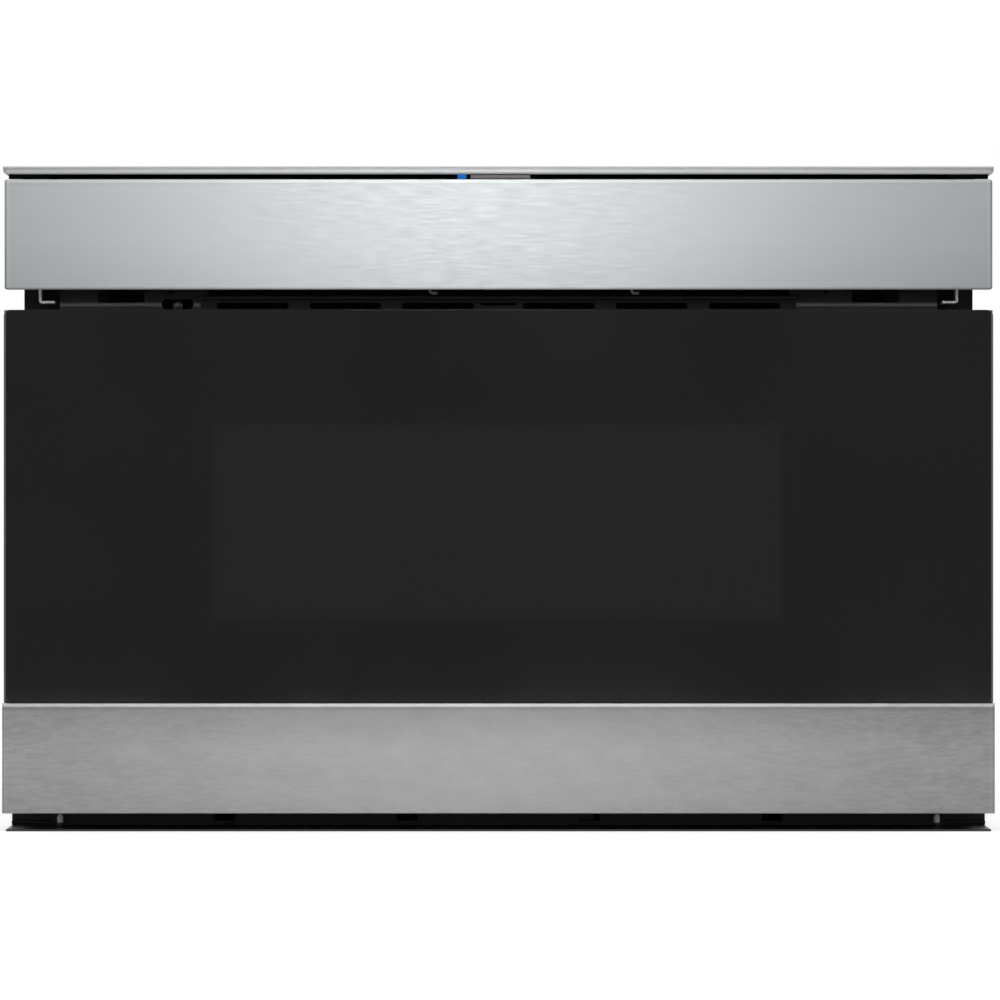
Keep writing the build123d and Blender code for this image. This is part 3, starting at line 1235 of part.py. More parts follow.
def housing_sketch(inset):
    """The housing's Y-Z section, drawn in by a wall thickness."""
    top = TOUCH_GLASS_BOTTOM
    front = FACE_Y + PANEL_SHEET
    bottom = PANEL_BOTTOM + HOUSING_BOTTOM
    rear = PIVOT_Y + HOUSING_REAR
    belly = PIVOT_Z - HOUSING_BELLY
    points = [
        (front, bottom),
        (front, top),
        (FACE_Y + HOUSING_TOP_DEPTH, top),
        (FACE_Y + HOUSING_TOP_DEPTH, PIVOT_Z + HOUSING_SHOULDER),
        (rear, PIVOT_Z + HOUSING_REAR_HIGH),
        (rear, PIVOT_Z - HOUSING_REAR_LOW),
        (PIVOT_Y + HOUSING_BELLY_BEHIND, belly),
        (PIVOT_Y - HOUSING_FLOOR_AHEAD, bottom),
    ]
    face = make_face(Polyline(*points, close=True))
    if inset:
        face = offset(face, -inset, kind=Kind.INTERSECTION)
    return face


def housing_slab(inset, x):
    return Pos(x[0], 0, 0) * extrude(Plane.YZ * housing_sketch(inset), x[1] - x[0])


def panel_housing():
    half = HOUSING_WIDTH / 2
    outer = housing_slab(0, (-half, half))
    inner = housing_slab(HOUSING_WALL, (-half + HOUSING_WALL, half - HOUSING_WALL))
    mouth_x = wide(HOUSING_WIDTH - 2 * HOUSING_WALL)
    mouth_y = (FACE_Y + PANEL_SHEET + HOUSING_WALL, FACE_Y + HOUSING_TOP_DEPTH - HOUSING_WALL)
    mouth = block(mouth_x, mouth_y, (TOUCH_GLASS_BOTTOM - HOUSING_WALL, TOUCH_GLASS_BOTTOM))
    shell = cut(outer, [inner, mouth])
    board_y = FACE_Y + BOARD_FRONT + BOARD_DEPTH / 2
    post_z = (PANEL_BOTTOM + HOUSING_BOTTOM + HOUSING_WALL / 2, board_bottom())
    posts = []
    for x in POST_X:
        posts += [rod_z(POST_RADIUS, side * x, board_y - POST_AHEAD, post_z) for side in (-1, 1)]
    bosses = [rod_x(BOSS_RADIUS, (half, BOSS_END), PIVOT_Y, PIVOT_Z)]
    bosses.append(rod_x(BOSS_RADIUS, (-BOSS_END, -half), PIVOT_Y, PIVOT_Z))
    bore_radius = HINGE_PIN_RADIUS + PIN_CLEARANCE
    bore_start = HINGE_WEB_INNER - HINGE_PIN_REACH - SEAT_GAP
    bores = [rod_x(bore_radius, (bore_start, BOSS_END), PIVOT_Y, PIVOT_Z)]
    bores.append(rod_x(bore_radius, (-BOSS_END, -bore_start), PIVOT_Y, PIVOT_Z))
    return [cut(fuse([shell] + posts + bosses), bores)]


def board_bottom():
    return TOUCH_GLASS_BOTTOM - DISPLAY_HEIGHT - BOARD_THICKNESS


def touch_glass():
    x = wide(PANEL_WIDTH - 2 * PANEL_SHEET - 2 * TOUCH_GLASS_GAP)
    y = (FACE_Y + PANEL_TOP_FOLD + TOUCH_GLASS_GAP, FACE_Y + TOUCH_GLASS_END)
    return [block(x, y, (TOUCH_GLASS_BOTTOM, PANEL_TOP))]


def display_module():
    front = FACE_Y + BOARD_FRONT + (BOARD_DEPTH - DISPLAY_DEPTH) / 2
    z = (TOUCH_GLASS_BOTTOM - DISPLAY_HEIGHT, TOUCH_GLASS_BOTTOM)
    return [block(wide(DISPLAY_WIDTH), (front, front + DISPLAY_DEPTH), z)]


def control_board():
    y = (FACE_Y + BOARD_FRONT, FACE_Y + BOARD_FRONT + BOARD_DEPTH)
    z = (board_bottom(), board_bottom() + BOARD_THICKNESS)
    return [block(wide(BOARD_WIDTH), y, z)]


def gear_sector():
    pitch_angle = 360 / SECTOR_TEETH
    before = int((MESH_ANGLE - SECTOR_START_ANGLE) / pitch_angle)
    after = int((SECTOR_END_ANGLE - MESH_ANGLE) / pitch_angle)
    first = MESH_ANGLE - before * pitch_angle
    points = gear_outline(TILT_MODULE, SECTOR_TEETH, TILT_BACKLASH, first, before + after + 1)
    start = HOUSING_WIDTH / 2
    x = (start, start + SECTOR_THICKNESS)
    pie = gear_plate(points + [(0, 0)], (PIVOT_Y, PIVOT_Z), x)
    hub = rod_x(SECTOR_HUB_RADIUS, x, PIVOT_Y, PIVOT_Z)
    bore = rod_x(BOSS_RADIUS + PIN_CLEARANCE, x, PIVOT_Y, PIVOT_Z)
    return [pie + hub - bore]


def tilt_pinion():
    start = HOUSING_WIDTH / 2 + SIDE_CLEARANCE
    x = (start, start + SECTOR_THICKNESS)
    half_tooth = 180 / TILT_PINION_TEETH
    first = MESH_ANGLE + 180 + half_tooth
    points = gear_outline(TILT_MODULE, TILT_PINION_TEETH, TILT_BACKLASH, first, TILT_PINION_TEETH)
    gear = gear_plate(points, (TILT_PINION_Y, TILT_PINION_Z), x)
    shaft_x = (x[1], HINGE_WEB_OUTER + TILT_MOTOR_BORE_DEPTH - SEAT_GAP)
    return [gear + rod_x(TILT_SHAFT_RADIUS, shaft_x, TILT_PINION_Y, TILT_PINION_Z)]


def tilt_motor():
    half = TILT_MOTOR_SIZE / 2
    x = (HINGE_WEB_OUTER, HINGE_WEB_OUTER + TILT_MOTOR_LENGTH)
    y = (TILT_PINION_Y - half, TILT_PINION_Y + half)
    z = (TILT_PINION_Z - half, TILT_PINION_Z + half)
    body = fillet(block(x, y, z).edges().filter_by(Axis.X), TILT_MOTOR_CORNER)
    bore_x = (x[0], x[0] + TILT_MOTOR_BORE_DEPTH)
    return [body - rod_x(TILT_SHAFT_RADIUS + PIN_CLEARANCE, bore_x, TILT_PINION_Y, TILT_PINION_Z)]


def hinge_bracket():
    """The right bracket: a web with an ear for the pin, a foot bent inwards and a screwed tab."""
    foot_y = FACE_Y + HINGE_FOOT_BEHIND
    web_x = (HINGE_WEB_INNER, HINGE_WEB_OUTER)
    rear = FLANGE_Y
    points = [
        (foot_y, HINGE_FOOT_Z),
        (rear, HINGE_FOOT_Z),
        (rear, HINGE_TOP_Z),
        (rear - HINGE_EAR_RADIUS, HINGE_TOP_Z),
        (PIVOT_Y, PIVOT_Z + HINGE_EAR_RADIUS),
        (PIVOT_Y, PIVOT_Z - HINGE_EAR_RADIUS),
        (foot_y, PIVOT_Z - HINGE_EAR_DROP),
    ]
    web = side_plate(points, web_x) + rod_x(HINGE_EAR_RADIUS, web_x, PIVOT_Y, PIVOT_Z)
    foot_x = (HINGE_WEB_OUTER - HINGE_FOOT_WIDTH, HINGE_WEB_OUTER)
    foot_span_y = (foot_y, rear - SEAT_GAP)
    foot = block(foot_x, foot_span_y, (HINGE_FOOT_Z, HINGE_FOOT_Z + HINGE_SHEET))
    tab_x = (HINGE_WEB_OUTER, HINGE_WEB_OUTER + HINGE_TAB_WIDTH)
    tab = block(tab_x, (rear - HINGE_SHEET, rear), (HINGE_TAB_BOTTOM, HINGE_TOP_Z))
    bracket = fuse([web, foot, tab])
    corner = bracket.edges().filter_by(Axis.Y).group_by(Axis.Z)[0].sort_by(Axis.X)[-1]
    bracket = fillet(corner, HINGE_BEND_RADIUS)
    holes = [rod_x(HINGE_PIN_RADIUS, web_x, PIVOT_Y, PIVOT_Z)]
    holes.append(rod_x(TILT_SHAFT_RADIUS + SIDE_CLEARANCE, web_x, TILT_PINION_Y, TILT_PINION_Z))
    return cut(bracket, holes)


def hinge_brackets():
    return on_both_sides(hinge_bracket())


def hinge_pins():
    start = HINGE_WEB_INNER - HINGE_PIN_REACH
    pin = rod_x(HINGE_PIN_RADIUS, (start, HINGE_WEB_OUTER), PIVOT_Y, PIVOT_Z)
    head_x = (HINGE_WEB_OUTER, HINGE_WEB_OUTER + HINGE_PIN_HEAD)
    return on_both_sides(pin + rod_x(HINGE_PIN_HEAD_RADIUS, head_x, PIVOT_Y, PIVOT_Z))


# ---------------------------------------------------------------- top cap
def top_trim():
    x = wide(CAP_WIDTH)
    y = (FACE_Y, FLANGE_Y)
    z = (CAP_BOTTOM, CAP_TOP)
    body = block(x, y, z)
    ends = body.edges().filter_by(Axis.Y).group_by(Axis.Z)[0]
    body = fillet(ends, CAP_END_RADIUS)
    front = body.edges().filter_by(Axis.X).group_by(Axis.Y)[0]
    body = fillet(front, CAP_FRONT_RADIUS)
    inside_x = wide(CARRIER_WIDTH)
    inside = block(inside_x, (y[0] + CAP_SHEET, y[1]), (z[0], z[1] - CAP_SHEET))
    return [body - inside]


def button_stem_places():
    middle = BUTTON_LEFT + BUTTON_WIDTH / 2
    return [middle + x for x in spaced(2, STEM_SPACING)]


def button_bar_y():
    front = FACE_Y + BUTTON_SETBACK
    return (front, front + BUTTON_DEPTH)


def trim_carrier():
    x = wide(CARRIER_WIDTH)
    y = (FACE_Y + CAP_SHEET, FLANGE_Y)
    z = (CAP_BOTTOM, CAP_TOP - CAP_SHEET)
    body = block(x, y, z)
    end_x = (CARRIER_WIDTH / 2 - CARRIER_END_LENGTH, CARRIER_WIDTH / 2)
    end_y = (y[0], y[0] + CARRIER_END_DEPTH)
    ends = on_both_sides(block(end_x, end_y, (z[0] - CARRIER_END_DROP, z[0])))
    body = fuse([body] + ends)
    post_end = button_bar_y()[1] + STEM_LENGTH
    slot_y = (post_end - STEM_POST_LENGTH - SEAT_GAP, post_end + BUTTON_TRAVEL + SEAT_GAP)
    slots = []
    for middle in button_stem_places():
        half = STEM_WIDTH / 2 + SEAT_GAP
        slot_z = (z[0], z[0] + STEM_POST + SEAT_GAP)
        slots.append(block((middle - half, middle + half), slot_y, slot_z))
    return [cut(body, slots)]


def open_button():
    top = CAP_BOTTOM - BUTTON_TOP_GAP
    y = button_bar_y()
    bar = block((BUTTON_LEFT, BUTTON_LEFT + BUTTON_WIDTH), y, (top - BUTTON_HEIGHT, top))
    pieces = [bar]
    for middle in button_stem_places():
        span = (middle - STEM_WIDTH / 2, middle + STEM_WIDTH / 2)
        end = y[1] + STEM_LENGTH
        pieces.append(block(span, (y[1], end), (top - STEM_HEIGHT, top)))
        post_z = (top - STEM_HEIGHT, CAP_BOTTOM + STEM_POST - BUTTON_TOP_GAP)
        pieces.append(block(span, (end - STEM_POST_LENGTH, end), post_z))
    return [fuse(pieces)]


def status_led():
    x = (LED_LEFT, LED_LEFT + LED_WIDTH)
    y = (FACE_Y + LED_SETBACK, FACE_Y + LED_SETBACK + LED_DEPTH)
    return [block(x, y, (CAP_BOTTOM - LED_DROP, CAP_BOTTOM))]


# ---------------------------------------------------------------- microwave supply
def waveguide():
    x = wide(GUIDE_WIDTH)
    y = (STIRRER_Y - GUIDE_FRONT_PAST_FEED, MAGNETRON_Y + GUIDE_PAST_MAGNETRON)
    z = (CAVITY_ROOF, GUIDE_TOP)
    tube = shell_box(x, y, z, GUIDE_WALL)
    floor_z = (z[0], z[0] + GUIDE_WALL)
    roof_z = (z[1] - GUIDE_WALL, z[1])
    cutters = [rod_z(FEED_RADIUS, 0, STIRRER_Y, floor_z)]
    cutters.append(rod_z(ANTENNA_RADIUS + ANTENNA_HOLE_GAP, 0, MAGNETRON_Y, floor_z))
    cutters.append(rod_z(STIRRER_SHAFT_RADIUS + SIDE_CLEARANCE, 0, STIRRER_Y, roof_z))
    return [cut(tube, cutters)]


def centred_block(size, x, y, z_low):
    """A box of one size, centred at x and y, standing at one height."""
    half_x, half_y = size[0] / 2, size[1] / 2
    return block((x - half_x, x + half_x), (y - half_y, y + half_y), (z_low, z_low + size[2]))


def magnetron():
    plate_low = CAVITY_ROOF - MAGNETRON_PLATE[2]
    plate = centred_block(MAGNETRON_PLATE, 0, MAGNETRON_Y, plate_low)
    low = plate_low - MAGNETRON_HEIGHT
    core = rod_z(MAGNETRON_CORE_RADIUS, 0, MAGNETRON_Y, (low, plate_low))
    antenna = rod_z(ANTENNA_RADIUS, 0, MAGNETRON_Y, (plate_low, CAVITY_ROOF + ANTENNA_HEIGHT))
    fins = []
    for rise in spaced(FIN_COUNT, FIN_PITCH):
        fin_low = low + MAGNETRON_HEIGHT / 2 + rise - FIN_SIZE[2] / 2
        fins.append(centred_block(FIN_SIZE, 0, MAGNETRON_Y, fin_low))
    yoke_x = FIN_SIZE[0] / 2
    yoke_y = (MAGNETRON_Y - FIN_SIZE[1] / 2, MAGNETRON_Y + FIN_SIZE[1] / 2)
    yoke = block((yoke_x, yoke_x + YOKE_SHEET), yoke_y, (low, plate_low))
    bottom = block(wide(2 * (yoke_x + YOKE_SHEET)), yoke_y, (low - YOKE_SHEET, low))
    filter_box = centred_block(FILTER_BOX, 0, MAGNETRON_Y, low - YOKE_SHEET - FILTER_BOX[2])
    return [fuse([plate, core, antenna, bottom, filter_box] + on_both_sides(yoke) + fins)]


def stirrer_motor():
    can = rod_z(STIRRER_MOTOR_RADIUS, 0, STIRRER_Y, (GUIDE_TOP, GUIDE_TOP + STIRRER_MOTOR_HEIGHT))
    ear_size = (STIRRER_MOTOR_EARS, EAR_WIDTH, EAR_SHEET)
    ears = centred_block(ear_size, 0, STIRRER_Y, GUIDE_TOP)
    bore_z = (GUIDE_TOP, GUIDE_TOP + STIRRER_MOTOR_BORE)
    bore = rod_z(STIRRER_SHAFT_RADIUS + PIN_CLEARANCE, 0, STIRRER_Y, bore_z)
    return [can + ears - bore]


def stirrer_blade():
    low = CAVITY_TOP - STIRRER_DROP
    shaft_z = (low, GUIDE_TOP + STIRRER_MOTOR_BORE - SEAT_GAP)
    pieces = [rod_z(STIRRER_SHAFT_RADIUS, 0, STIRRER_Y, shaft_z)]
    pieces.append(rod_z(STIRRER_HUB_RADIUS, 0, STIRRER_Y, (low, low + STIRRER_HUB_RADIUS)))
    for index in range(STIRRER_ARM_COUNT):
        turn = Rot(0, 0, index * 180 / STIRRER_ARM_COUNT)
        arm = Box(2 * STIRRER_RADIUS, STIRRER_ARM, STIRRER_SHEET)
        pieces.append(Pos(0, STIRRER_Y, low + STIRRER_SHEET / 2) * turn * arm)
    return [fuse(pieces)]


def stirrer_cover():
    low = CAVITY_TOP - COVER_DROP
    plate = centred_block((COVER_SIZE, COVER_SIZE, COVER_SHEET), 0, STIRRER_Y, low)
    reach = COVER_SIZE / 2 - COVER_POST_INSET
    posts = []
    for x in (-reach, reach):
        for y in (-reach, reach):
            posts.append(rod_z(COVER_POST_RADIUS, x, STIRRER_Y + y, (low, CAVITY_TOP)))
    return [fuse([plate] + posts)]


def hv_transformer():
    x, y = CASE_HALF - TRANSFORMER_FROM_SIDE, CASE_BACK_Y - TRANSFORMER_FROM_BACK
    base = centred_block(TRANSFORMER_BASE, x, y, FRAME_SHEET)
    core_low = FRAME_SHEET + TRANSFORMER_BASE[2]
    core = centred_block(TRANSFORMER_CORE, x, y, core_low)
    coil_low = core_low + (TRANSFORMER_CORE[2] - TRANSFORMER_COIL[2]) / 2
    coil = centred_block(TRANSFORMER_COIL, x, y, coil_low)
    coil = fillet(coil.edges().filter_by(Axis.X), COIL_RADIUS)
    return [fuse([base, core, coil])]


def hv_capacitor():
    x, y = CAPACITOR_FROM_SIDE - CASE_HALF, CASE_BACK_Y - CAPACITOR_FROM_BACK
    oval = Rot(0, 0, 90) * SlotOverall(CAPACITOR_SIZE[1], CAPACITOR_SIZE[0])
    outline = Pos(x, y, FRAME_SHEET) * oval
    can = extrude(outline, CAPACITOR_HEIGHT)
    top = FRAME_SHEET + CAPACITOR_HEIGHT
    pieces = [can]
    for offset_y in wide(TERMINAL_SPREAD):
        pieces.append(rod_z(TERMINAL_RADIUS, x, y + offset_y, (top, top + TERMINAL_HEIGHT)))
    return [fuse(pieces)]


def hv_diode():
    x, y = DIODE_FROM_SIDE - CASE_HALF, CASE_BACK_Y - DIODE_FROM_BACK
    lug_y = y - DIODE_SIZE[1] / 2
    lug = rod_z(DIODE_LUG_RADIUS, x, lug_y, (FRAME_SHEET, FRAME_SHEET + DIODE_LUG_HEIGHT))
    return [lug + centred_block(DIODE_SIZE, x, y, FRAME_SHEET)]


def fan_housing():
    x = (FAN_BACK_X, FAN_FACE_X)
    half = FAN_SIZE / 2
    y_middle = MAGNETRON_Y
    frame = block(x, (y_middle - half, y_middle + half), (FAN_Z - half, FAN_Z + half))
    frame = frame - rod_x(FAN_WALL_RADIUS, x, y_middle, FAN_Z)
    ears = []
    for side in (-1, 1):
        z = FAN_Z + side * (half - FAN_ARM / 2)
        ear_z = (z - FAN_ARM / 2, z + FAN_ARM / 2)
        ears.append(block((x[0], x[0] + FAN_ARM), (y_middle + half, CASE_BACK_Y), ear_z))
    return [fuse([frame] + ears)]


def fan_motor():
    x_front = FAN_BACK_X - FAN_ARM_SHEET
    half = FAN_MOTOR_SIZE / 2
    body_x = (x_front - FAN_MOTOR_DEPTH, x_front)
    body = block(body_x, (MAGNETRON_Y - half, MAGNETRON_Y + half), (FAN_Z - half, FAN_Z + half))
    arm_x = (x_front, FAN_BACK_X)
    arm_z = (FAN_Z - FAN_SIZE / 2, FAN_Z + FAN_SIZE / 2)
    arm = block(arm_x, (MAGNETRON_Y - FAN_ARM, MAGNETRON_Y + FAN_ARM), arm_z)
    bore_x = (x_front - FAN_MOTOR_DEPTH / 2, FAN_BACK_X)
    bore = rod_x(FAN_SHAFT_RADIUS + PIN_CLEARANCE, bore_x, MAGNETRON_Y, FAN_Z)
    return [body + arm - bore]


def fan_impeller():
    middle = (FAN_BACK_X + FAN_FACE_X) / 2
    x = (middle - FAN_ROTOR_DEPTH / 2, middle + FAN_ROTOR_DEPTH / 2)
    pieces = [rod_x(FAN_HUB_RADIUS, x, MAGNETRON_Y, FAN_Z)]
    shaft_start = FAN_BACK_X - FAN_ARM_SHEET - FAN_MOTOR_DEPTH / 2 + SEAT_GAP
    pieces.append(rod_x(FAN_SHAFT_RADIUS, (shaft_start, x[0]), MAGNETRON_Y, FAN_Z))
    span = FAN_BLADE_RADIUS - FAN_BLADE_ROOT
    blade_middle = FAN_BLADE_ROOT + span / 2
    for index in range(FAN_BLADE_COUNT):
        blade = Rot(0, 0, FAN_BLADE_ANGLE) * Box(FAN_BLADE_CHORD, FAN_BLADE_THICKNESS, span)
        turn = Rot(index * 360 / FAN_BLADE_COUNT, 0, 0)
        pieces.append(Pos(middle, MAGNETRON_Y, FAN_Z) * turn * Pos(0, 0, blade_middle) * blade)
    limit = rod_x(FAN_BLADE_RADIUS, (shaft_start, FAN_FACE_X), MAGNETRON_Y, FAN_Z)
    return [fuse(pieces) & limit]


def lamp_holder():
    y = (CAVITY_REAR_FACE + LAMP_LENGTH, CAVITY_REAR_FACE + LAMP_LENGTH + LAMP_HOLDER[1])
    half = LAMP_HOLDER[0] / 2
    body = block((LAMP_X - half, LAMP_X + half), y, (LAMP_Z - half, LAMP_Z + half))
    legs = []
    for side in (-1, 1):
        x = LAMP_X + side * (half - FAN_ARM_SHEET / 2)
        span = (x - FAN_ARM_SHEET / 2, x + FAN_ARM_SHEET / 2)
        legs.append(block(span, (CAVITY_REAR_FACE, y[0]), (LAMP_Z - half / 2, LAMP_Z + half / 2)))
    return fuse([body] + legs)


def lamp_bulb():
    y_end = CAVITY_REAR_FACE + LAMP_LENGTH
    neck = rod_y(LAMP_RADIUS / 2, LAMP_X, (y_end - LAMP_RADIUS, y_end), LAMP_Z)
    return neck + Pos(LAMP_X, y_end - LAMP_RADIUS, LAMP_Z) * Sphere(LAMP_RADIUS - 2 * SEAT_GAP)


def oven_lamp():
    return [lamp_holder(), lamp_bulb()]


def power_board():
    x, y = POWER_BOARD_X, CAVITY_BACK_Y - POWER_BOARD_AHEAD
    low = CAVITY_ROOF + STANDOFF_HEIGHT
    board = centred_block((POWER_BOARD[0], POWER_BOARD[1], BOARD_THICKNESS), x, y, low)
    pieces = [board]
    top = low + BOARD_THICKNESS
    reach_x = POWER_BOARD[0] / 2 - STANDOFF_INSET
    reach_y = POWER_BOARD[1] / 2 - STANDOFF_INSET
    for dx in (-reach_x, reach_x):
        for dy in (-reach_y, reach_y):
            pieces.append(rod_z(STANDOFF_RADIUS, x + dx, y + dy, (CAVITY_ROOF, low)))
    for along in spaced(RELAY_COUNT, RELAY_PITCH):
        pieces.append(centred_block(RELAY_SIZE, x + RELAY_ROW_X, y + along, top))
    coil_z = (top, top + CHOKE_COIL_HEIGHT)
    for side in (-1, 1):
        coil_y = y + side * CHOKE_COIL_Y
        pieces.append(rod_z(CHOKE_COIL_RADIUS, x + CHOKE_COIL_X, coil_y, coil_z))
    return [fuse(pieces)]


# ---------------------------------------------------------------- files
NODES = {
    "base_pan": base_pan,
    "toe_rail": toe_rail,
    "stop_pins": stop_pins,
    "front_frame": front_frame,
    "outer_case": outer_case,
    "back_panel": back_panel,
    "case_screws": case_screws,
    "cord_gland": cord_gland,
    "vent_grille": vent_grille,
    "exhaust_duct": exhaust_duct,
    "hook_clips": hook_clips,
    "oven_cavity": oven_cavity,
    "door_glass": door_glass,
    "door_frame": door_frame,
    "door_screen": door_screen,
    "inner_window": inner_window,
    "choke_cover": choke_cover,
    "lower_trim": lower_trim,
    "door_bumpers": door_bumpers,
    "drawer_tub": drawer_tub,
    "floor_plate": floor_plate,
    "slide_outers": slide_outers,
    "slide_middles": slide_middles,
    "slide_inners": slide_inners,
    "outer_ball_cages": outer_ball_cages,
    "inner_ball_cages": inner_ball_cages,
    "door_brackets": door_brackets,
    "rear_crossbar": rear_crossbar,
    "drive_rack": drive_rack,
    "drive_pinion": drive_pinion,
    "drive_motor": drive_motor,
    "latch_hooks": latch_hooks,
    "interlock_switches": interlock_switches,
    "panel_front": panel_front,
    "panel_housing": panel_housing,
    "touch_glass": touch_glass,
    "display_module": display_module,
    "control_board": control_board,
    "gear_sector": gear_sector,
    "tilt_pinion": tilt_pinion,
    "tilt_motor": tilt_motor,
    "hinge_brackets": hinge_brackets,
    "hinge_pins": hinge_pins,
    "top_trim": top_trim,
    "trim_carrier": trim_carrier,
    "open_button": open_button,
    "status_led": status_led,
    "waveguide": waveguide,
    "magnetron": magnetron,
    "stirrer_motor": stirrer_motor,
    "stirrer_blade": stirrer_blade,
    "stirrer_cover": stirrer_cover,
    "hv_transformer": hv_transformer,
    "hv_capacitor": hv_capacitor,
    "hv_diode": hv_diode,
    "fan_housing": fan_housing,
    "fan_motor": fan_motor,
    "fan_impeller": fan_impeller,
    "oven_lamp": oven_lamp,
    "power_board": power_board,
}

os.makedirs("parts", exist_ok=True)
for name, make in NODES.items():
    solids = [solid for piece in make() for solid in piece.solids()]
    export_step(Compound(solids), f"parts/{name}.step")
print(len(NODES), "nodes")
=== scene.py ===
# %% [markdown]
# # A built-in microwave drawer
#
# The drawer hangs in a kitchen cabinet. Its front is a steel cap, a steel control panel
# that tilts out, a black glass door and a steel trim. Behind the front are the case, the
# slides and the cooking tub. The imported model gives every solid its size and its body.
# This script dresses those solids: it dulls their edges, adds what is too fine for them
# and gives each surface a finish.

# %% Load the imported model
import json
import math

import bmesh
import bpy
from mathutils import Matrix, Vector


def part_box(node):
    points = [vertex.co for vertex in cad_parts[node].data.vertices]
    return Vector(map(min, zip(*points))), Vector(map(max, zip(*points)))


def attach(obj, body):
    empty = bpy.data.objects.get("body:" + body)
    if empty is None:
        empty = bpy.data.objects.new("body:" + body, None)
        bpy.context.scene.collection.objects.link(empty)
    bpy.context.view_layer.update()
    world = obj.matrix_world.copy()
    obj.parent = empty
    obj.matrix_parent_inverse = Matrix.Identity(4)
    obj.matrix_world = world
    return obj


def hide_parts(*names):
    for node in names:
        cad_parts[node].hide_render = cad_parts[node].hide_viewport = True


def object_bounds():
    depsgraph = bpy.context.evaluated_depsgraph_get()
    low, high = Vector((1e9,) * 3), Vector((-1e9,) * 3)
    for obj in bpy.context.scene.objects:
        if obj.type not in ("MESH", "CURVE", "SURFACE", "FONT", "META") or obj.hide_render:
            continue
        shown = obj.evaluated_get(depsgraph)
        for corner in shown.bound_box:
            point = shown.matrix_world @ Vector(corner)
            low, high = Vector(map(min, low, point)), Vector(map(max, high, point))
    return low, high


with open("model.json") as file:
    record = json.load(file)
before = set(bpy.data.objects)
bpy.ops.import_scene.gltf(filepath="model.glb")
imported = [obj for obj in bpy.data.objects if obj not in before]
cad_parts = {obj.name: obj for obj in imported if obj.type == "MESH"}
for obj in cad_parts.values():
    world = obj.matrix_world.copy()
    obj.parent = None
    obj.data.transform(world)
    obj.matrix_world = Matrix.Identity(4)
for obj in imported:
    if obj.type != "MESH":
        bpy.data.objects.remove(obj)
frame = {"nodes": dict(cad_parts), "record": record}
NODES = frame["nodes"]
BODIES = frame["record"]["behaviour"]["bodies"]
BODY_OF = {node: body for body, nodes in BODIES.items() for node in nodes}
SLOT_OF = {row["node"]: row["material_slot"] for row in frame["record"]["subparts"]}
CAD_LOW, CAD_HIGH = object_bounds()
MM = 0.001
MICRON = 0.000001
print("CAD box in metres:", [round(high - low, 4) for low, high in zip(CAD_LOW, CAD_HIGH)])

# %% [markdown]
# ## The camera
#
# The photograph was taken straight on, from some way off: no side, top or floor shows. A
# long lens at 3.5 metres gives that. Its focal length follows from how wide the picture is
# at the drawer's front.

# %% Place the camera
CAMERA_DISTANCE = 3.5
PICTURE_WIDTH = 0.6114
PICTURE_CENTRE_X = 0.00095
PICTURE_CENTRE_Z = 0.2027
SENSOR_WIDTH = 36.0
FARTHEST_SEEN = 100.0


def add_object(name, data):
    """An object at the origin, in the scene."""
    made = bpy.data.objects.new(name, data)
    bpy.context.scene.collection.objects.link(made)
    return made


camera_data = bpy.data.cameras.new("front_camera")
camera_data.sensor_width = SENSOR_WIDTH
camera_data.lens = SENSOR_WIDTH * CAMERA_DISTANCE / PICTURE_WIDTH
camera_data.clip_end = FARTHEST_SEEN
camera = add_object("front_camera", camera_data)
camera.location = (PICTURE_CENTRE_X, CAD_LOW.y - CAMERA_DISTANCE, PICTURE_CENTRE_Z)
camera.rotation_euler = (math.radians(90), 0, 0)
bpy.context.scene.camera = camera
print("lens in mm:", round(camera_data.lens, 1))

# %% [markdown]
# ## Helpers for shader nodes
#
# A finish is a small tree of shader nodes. These helpers make a node, set its sockets and
# read patterns in Object coordinates, which are metres. So a zinc crystal has its real size
# on every piece.


# %% Nodes and patterns
def add_node(tree, kind, values=None, **settings):
    """A node with its settings, and numbers or links for its sockets.

    A kind without the word Node gets the tree's own prefix, such as ShaderNode.
    """
    prefix = "" if "Node" in kind else tree.bl_idname.removesuffix("Tree")
    made = tree.nodes.new(prefix + kind)
    for setting, value in settings.items():
        setattr(made, setting, value)
    for socket, value in (values or {}).items():
        if isinstance(value, bpy.types.NodeSocket):
            tree.links.new(value, made.inputs[socket])
        else:
            made.inputs[socket].default_value = value
    return made


def read(tree, kind, output, values=None, **settings):
    """One output of a new node."""
    return add_node(tree, kind, values, **settings).outputs[output]


def texture(tree, kind, per_metre, output="Fac", values=None, **settings):
    """A texture with so many cells per metre: one number, or one each for X, Y and Z."""
    if not isinstance(per_metre, tuple):
        per_metre = (per_metre,) * 3
    place = read(tree, "TexCoord", "Object")
    cells = read(tree, "Mapping", "Vector", {"Vector": place, "Scale": per_metre})
    values = {"Vector": cells, "Scale": 1.0, **(values or {})}
    return read(tree, kind, output, values, **settings)


def noise(tree, per_metre, detail=2.0, roughness=0.5):
    """Noise with so many cells per metre."""
    return texture(tree, "TexNoise", per_metre, values={"Detail": detail, "Roughness": roughness})


def place_along(tree, axis):
    """Where a point lies along one axis of the object, in metres."""
    return read(tree, "SeparateXYZ", axis, {"Vector": read(tree, "TexCoord", "Object")})


# %% Sums and mixtures
def maths(tree, operation, *numbers):
    """The result of one sum on numbers or patterns."""
    values = dict(enumerate(numbers))
    return read(tree, "ShaderNodeMath", 0, values, operation=operation)


def spread(tree, factor, low, high, start=0.35, end=0.65):
    """A factor taken from its usual range to another range."""
    values = {"Value": factor, "From Min": start, "From Max": end, "To Min": low, "To Max": high}
    return read(tree, "MapRange", "Result", values)


